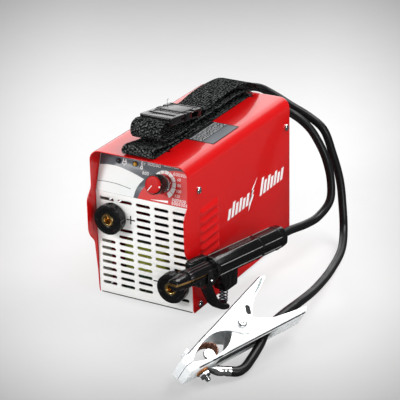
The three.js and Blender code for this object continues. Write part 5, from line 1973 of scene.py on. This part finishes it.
def build_clamp_rivet_and_spring():
    half = [(3.5, 15.45), (5.2, 15.45), (5.2, 16.2), (4.8, 17.0), (3.4, 17.6)]
    rivet = lathe([
        (0, -17.6), *[(r, -h) for r, h in reversed(half)], *half, (2.2, 17.6), (1.6, 17.0), (0, 16.8)
    ], 48)
    piece(
        "clamp_hinge_rivet", moved(rivet, CLAMP @ ALONG_N), zinc, slot="zinc_plate",
        replaces=["clamp_rivet"]
    )
    wire = moved(shifted(coil(7.2, 1, 5.5, 16.4), 0, 0, -8.2), CLAMP)
    piece("clamp_coil", wire, steel, slot="zinc_plate", replaces=["clamp_spring"], weld=0)


def build_contact_bolt():
    """Threaded bolt through the lower arm with two nuts, and the lead's lug clamped between them."""
    thread = [(2.9 - 0.28 * (k % 2), -2 + 0.5 * k) for k in range(26)]
    shank = lathe([(0, -6), (2.5, -6), (2.9, -5.6), *thread, (2.6, 11.2), (2.0, 12), (0, 12)], 28)
    bolt = merged(shank, hex_nut(5.4, -6.2, -2.0), hex_nut(5.8, 2.7, 7.4, 2.95))
    piece(
        "clamp_contact_bolt", moved(bolt, CLAMP @ on_back(-1)), zinc, slot="zinc_plate",
        replaces=["clamp_bolt"]
    )
    eye = moved(prism(circle(0, 0, 7, 40), 0.4, 2.2, [circle(0, 0, 3.3, 28)], 0.3), STANDING)
    piece("lug_eye", moved(eye, CLAMP @ on_back(-1)), copper_wire, slot="zinc_plate")


def build_lug_barrel():
    """Flat at the bolt, then rising and rounding into a crimped barrel for the lead."""
    angle = math.radians(30)
    flat_end, rise_end = Vector((5.2, 1.3, 0)), Vector((14, 6.4, 0))
    way = Vector((math.cos(angle), math.sin(angle), 0))
    sections = (
        (0.0, 4.6, 0.9), (0.12, 4.9, 1.2), (0.3, 5.2, 2.6), (0.45, 5.3, 4.4), (0.55, 5.2, 5.2),
        (0.72, 5.2, 5.2), (0.76, 4.9, 4.6), (0.82, 4.9, 4.6), (0.86, 5.2, 5.2), (1.0, 5.2, 5.2)
    )
    rings = []
    for t, wide, tall in sections:
        place = flat_end.lerp(rise_end, t * 2) if t < 0.5 else rise_end + way * 14.6 * (t * 2 - 1)
        lean = angle * min(t * 2, 1)
        across = Vector((-math.sin(lean), math.cos(lean), 0)) * tall
        rings.append(
            [place + across * math.cos(a) + Vector((0, 0, wide * math.sin(a))) for a in around(32)]
        )
    piece(
        "lug_barrel", moved(loft(rings), CLAMP @ on_back(-1)), zinc, slot="zinc_plate",
        replaces=["clamp_lug"]
    )


def build_plait():
    """Copper plait from one arm to the other, with a steel ferrule at its end."""
    band, heights = braid_band()
    plait = piece(
        "clamp_plait", moved(band, CLAMP), braid, None, "copper_braid", ["clamp_braid"], weld=0, sharp=180,
        weave_heights=heights
    )
    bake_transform(plait)
    eyelet = lathe([(0, 3.2), (5.6, 3.2), (6.4, 3.9), (6.4, 5.2), (5.8, 5.9), (4.6, 6.0), (0, 6.0)], 40)
    piece(
        "plait_ferrule", moved(shifted(moved(eyelet, ALONG_N), -47.5, -3.2, 0), CLAMP), steel,
        slot="zinc_plate"
    )


# ---------- leads ----------
LEADS = {
    "holder": [
        (91.9, 136.6, 46), (94.5, 158, 44.6), (99.4, 190, 40.5), (103.4, 212, 41.5), (107.8, 233, 54),
        (105, 241, 75), (97.4, 243, 101), (87.7, 243, 120), (75.4, 242, 136.5), (55, 238, 151),
        (30, 238, 154), (14, 241, 138), (9, 243, 108), (8, 243, 76.3)
    ],
    "clamp": [
        (157.8, -97.8, 8.3), (162.4, -92.6, 6.8), (165.6, -84, 7.4), (166.4, -72, 11), (165.6, -50, 18),
        (163.6, -31.6, 25.6), (165.6, -14.6, 28.8), (168.6, 1.6, 31.4), (172.4, 18, 33.6), (171, 50, 30),
        (166.6, 78, 25), (150, 150, 12), (134.6, 210, 9.6), (122, 241, 20), (115.1, 252, 42.4),
        (108, 259, 70), (98.3, 259, 101.6), (87, 257.6, 130), (71.1, 255, 143), (48.4, 251, 155),
        (28.8, 247.4, 165.8), (8, 247.6, 171.6), (-20, 251, 163), (-39, 255, 138), (-46, 258, 108),
        (-46, 258, 84.3)
    ]
}
LEAD_PLUGS = {"holder": (8, 243, 76), "clamp": (-46, 258, 84)}
LEAD_RADIUS = 4.8


def build_leads():
    """Both leads, with a ribbed and fluted plug at the socket end of each."""
    profile = [(0, 0), (6, 0), (6.5, 0.5)]
    for k in range(5):
        y = 1.6 + k * 2.0
        profile += [
            (6.6 + 0.28 * k, y), (6.6 + 0.28 * k, y + 1.1), (6.0 + 0.3 * k, y + 1.3),
            (6.0 + 0.3 * k, y + 1.8)
        ]
    profile += [
        (8, 12.4), (10, 15.5), (12.2, 20), (12.9, 22), (13, 23), (13, 42.6), (12.6, 44.6), (11.5, 46),
        (0, 46)
    ]

    def fluted(angle, index):
        return 1 - 0.05 * (0.5 + 0.5 * math.cos(10 * angle)) ** 2 if index >= len(profile) - 5 else 1

    pin = lathe([
        (0, 45), (4.5, 45), (4.5, 50), (3.9, 50.4), (3.9, 52), (4.5, 52.4), (4.5, 59.4), (4.2, 60.8),
        (3.5, 62), (0, 62)
    ], 40)
    for name, points in LEADS.items():
        path = smooth_path(points, 2.2)
        radii = np.full(len(path), LEAD_RADIUS)
        if name == "clamp":
            radii[:6] = LEAD_RADIUS * 1.08
        piece(
            f"{name}_lead", tube(path, radii, 24), rubber, slot="black_rubber", replaces=[f"{name}_cable"],
            weld=0
        )
        at = Matrix.Translation(LEAD_PLUGS[name]) @ Matrix.Rotation(-math.pi / 2, 4, "X")
        plug_body = moved(lathe(profile, 80, fluted), at)
        piece(
            f"{name}_plug_body", plug_body, rubber, slot="black_rubber", replaces=[f"{name}_plug"], sharp=40
        )
        piece(f"{name}_plug_pin", moved(pin, at), brass, slot="brass")


def build():
    """Everything in the picture, from the studio to the leads."""
    setup_camera()
    setup_studio()
    build_cover()
    build_front_panel()
    build_label()
    build_marks()
    build_polarity_marks()
    build_dial()
    build_lamps()
    build_sockets()
    build_screws()
    build_side_graphics()
    build_top_field()
    build_inside()
    build_rear_panel()
    build_fan()
    build_switch()
    build_cord()
    build_feet()
    build_strap()
    build_buckle_male()
    build_buckle_female()
    build_holder_rails()
    build_holder_handle()
    build_holder_jaw()
    build_holder_lever()
    build_holder_pin_and_spring()
    build_clamp_arms()
    build_clamp_trims()
    build_clamp_rivet_and_spring()
    build_contact_bolt()
    build_lug_barrel()
    build_plait()
    build_leads()


build()
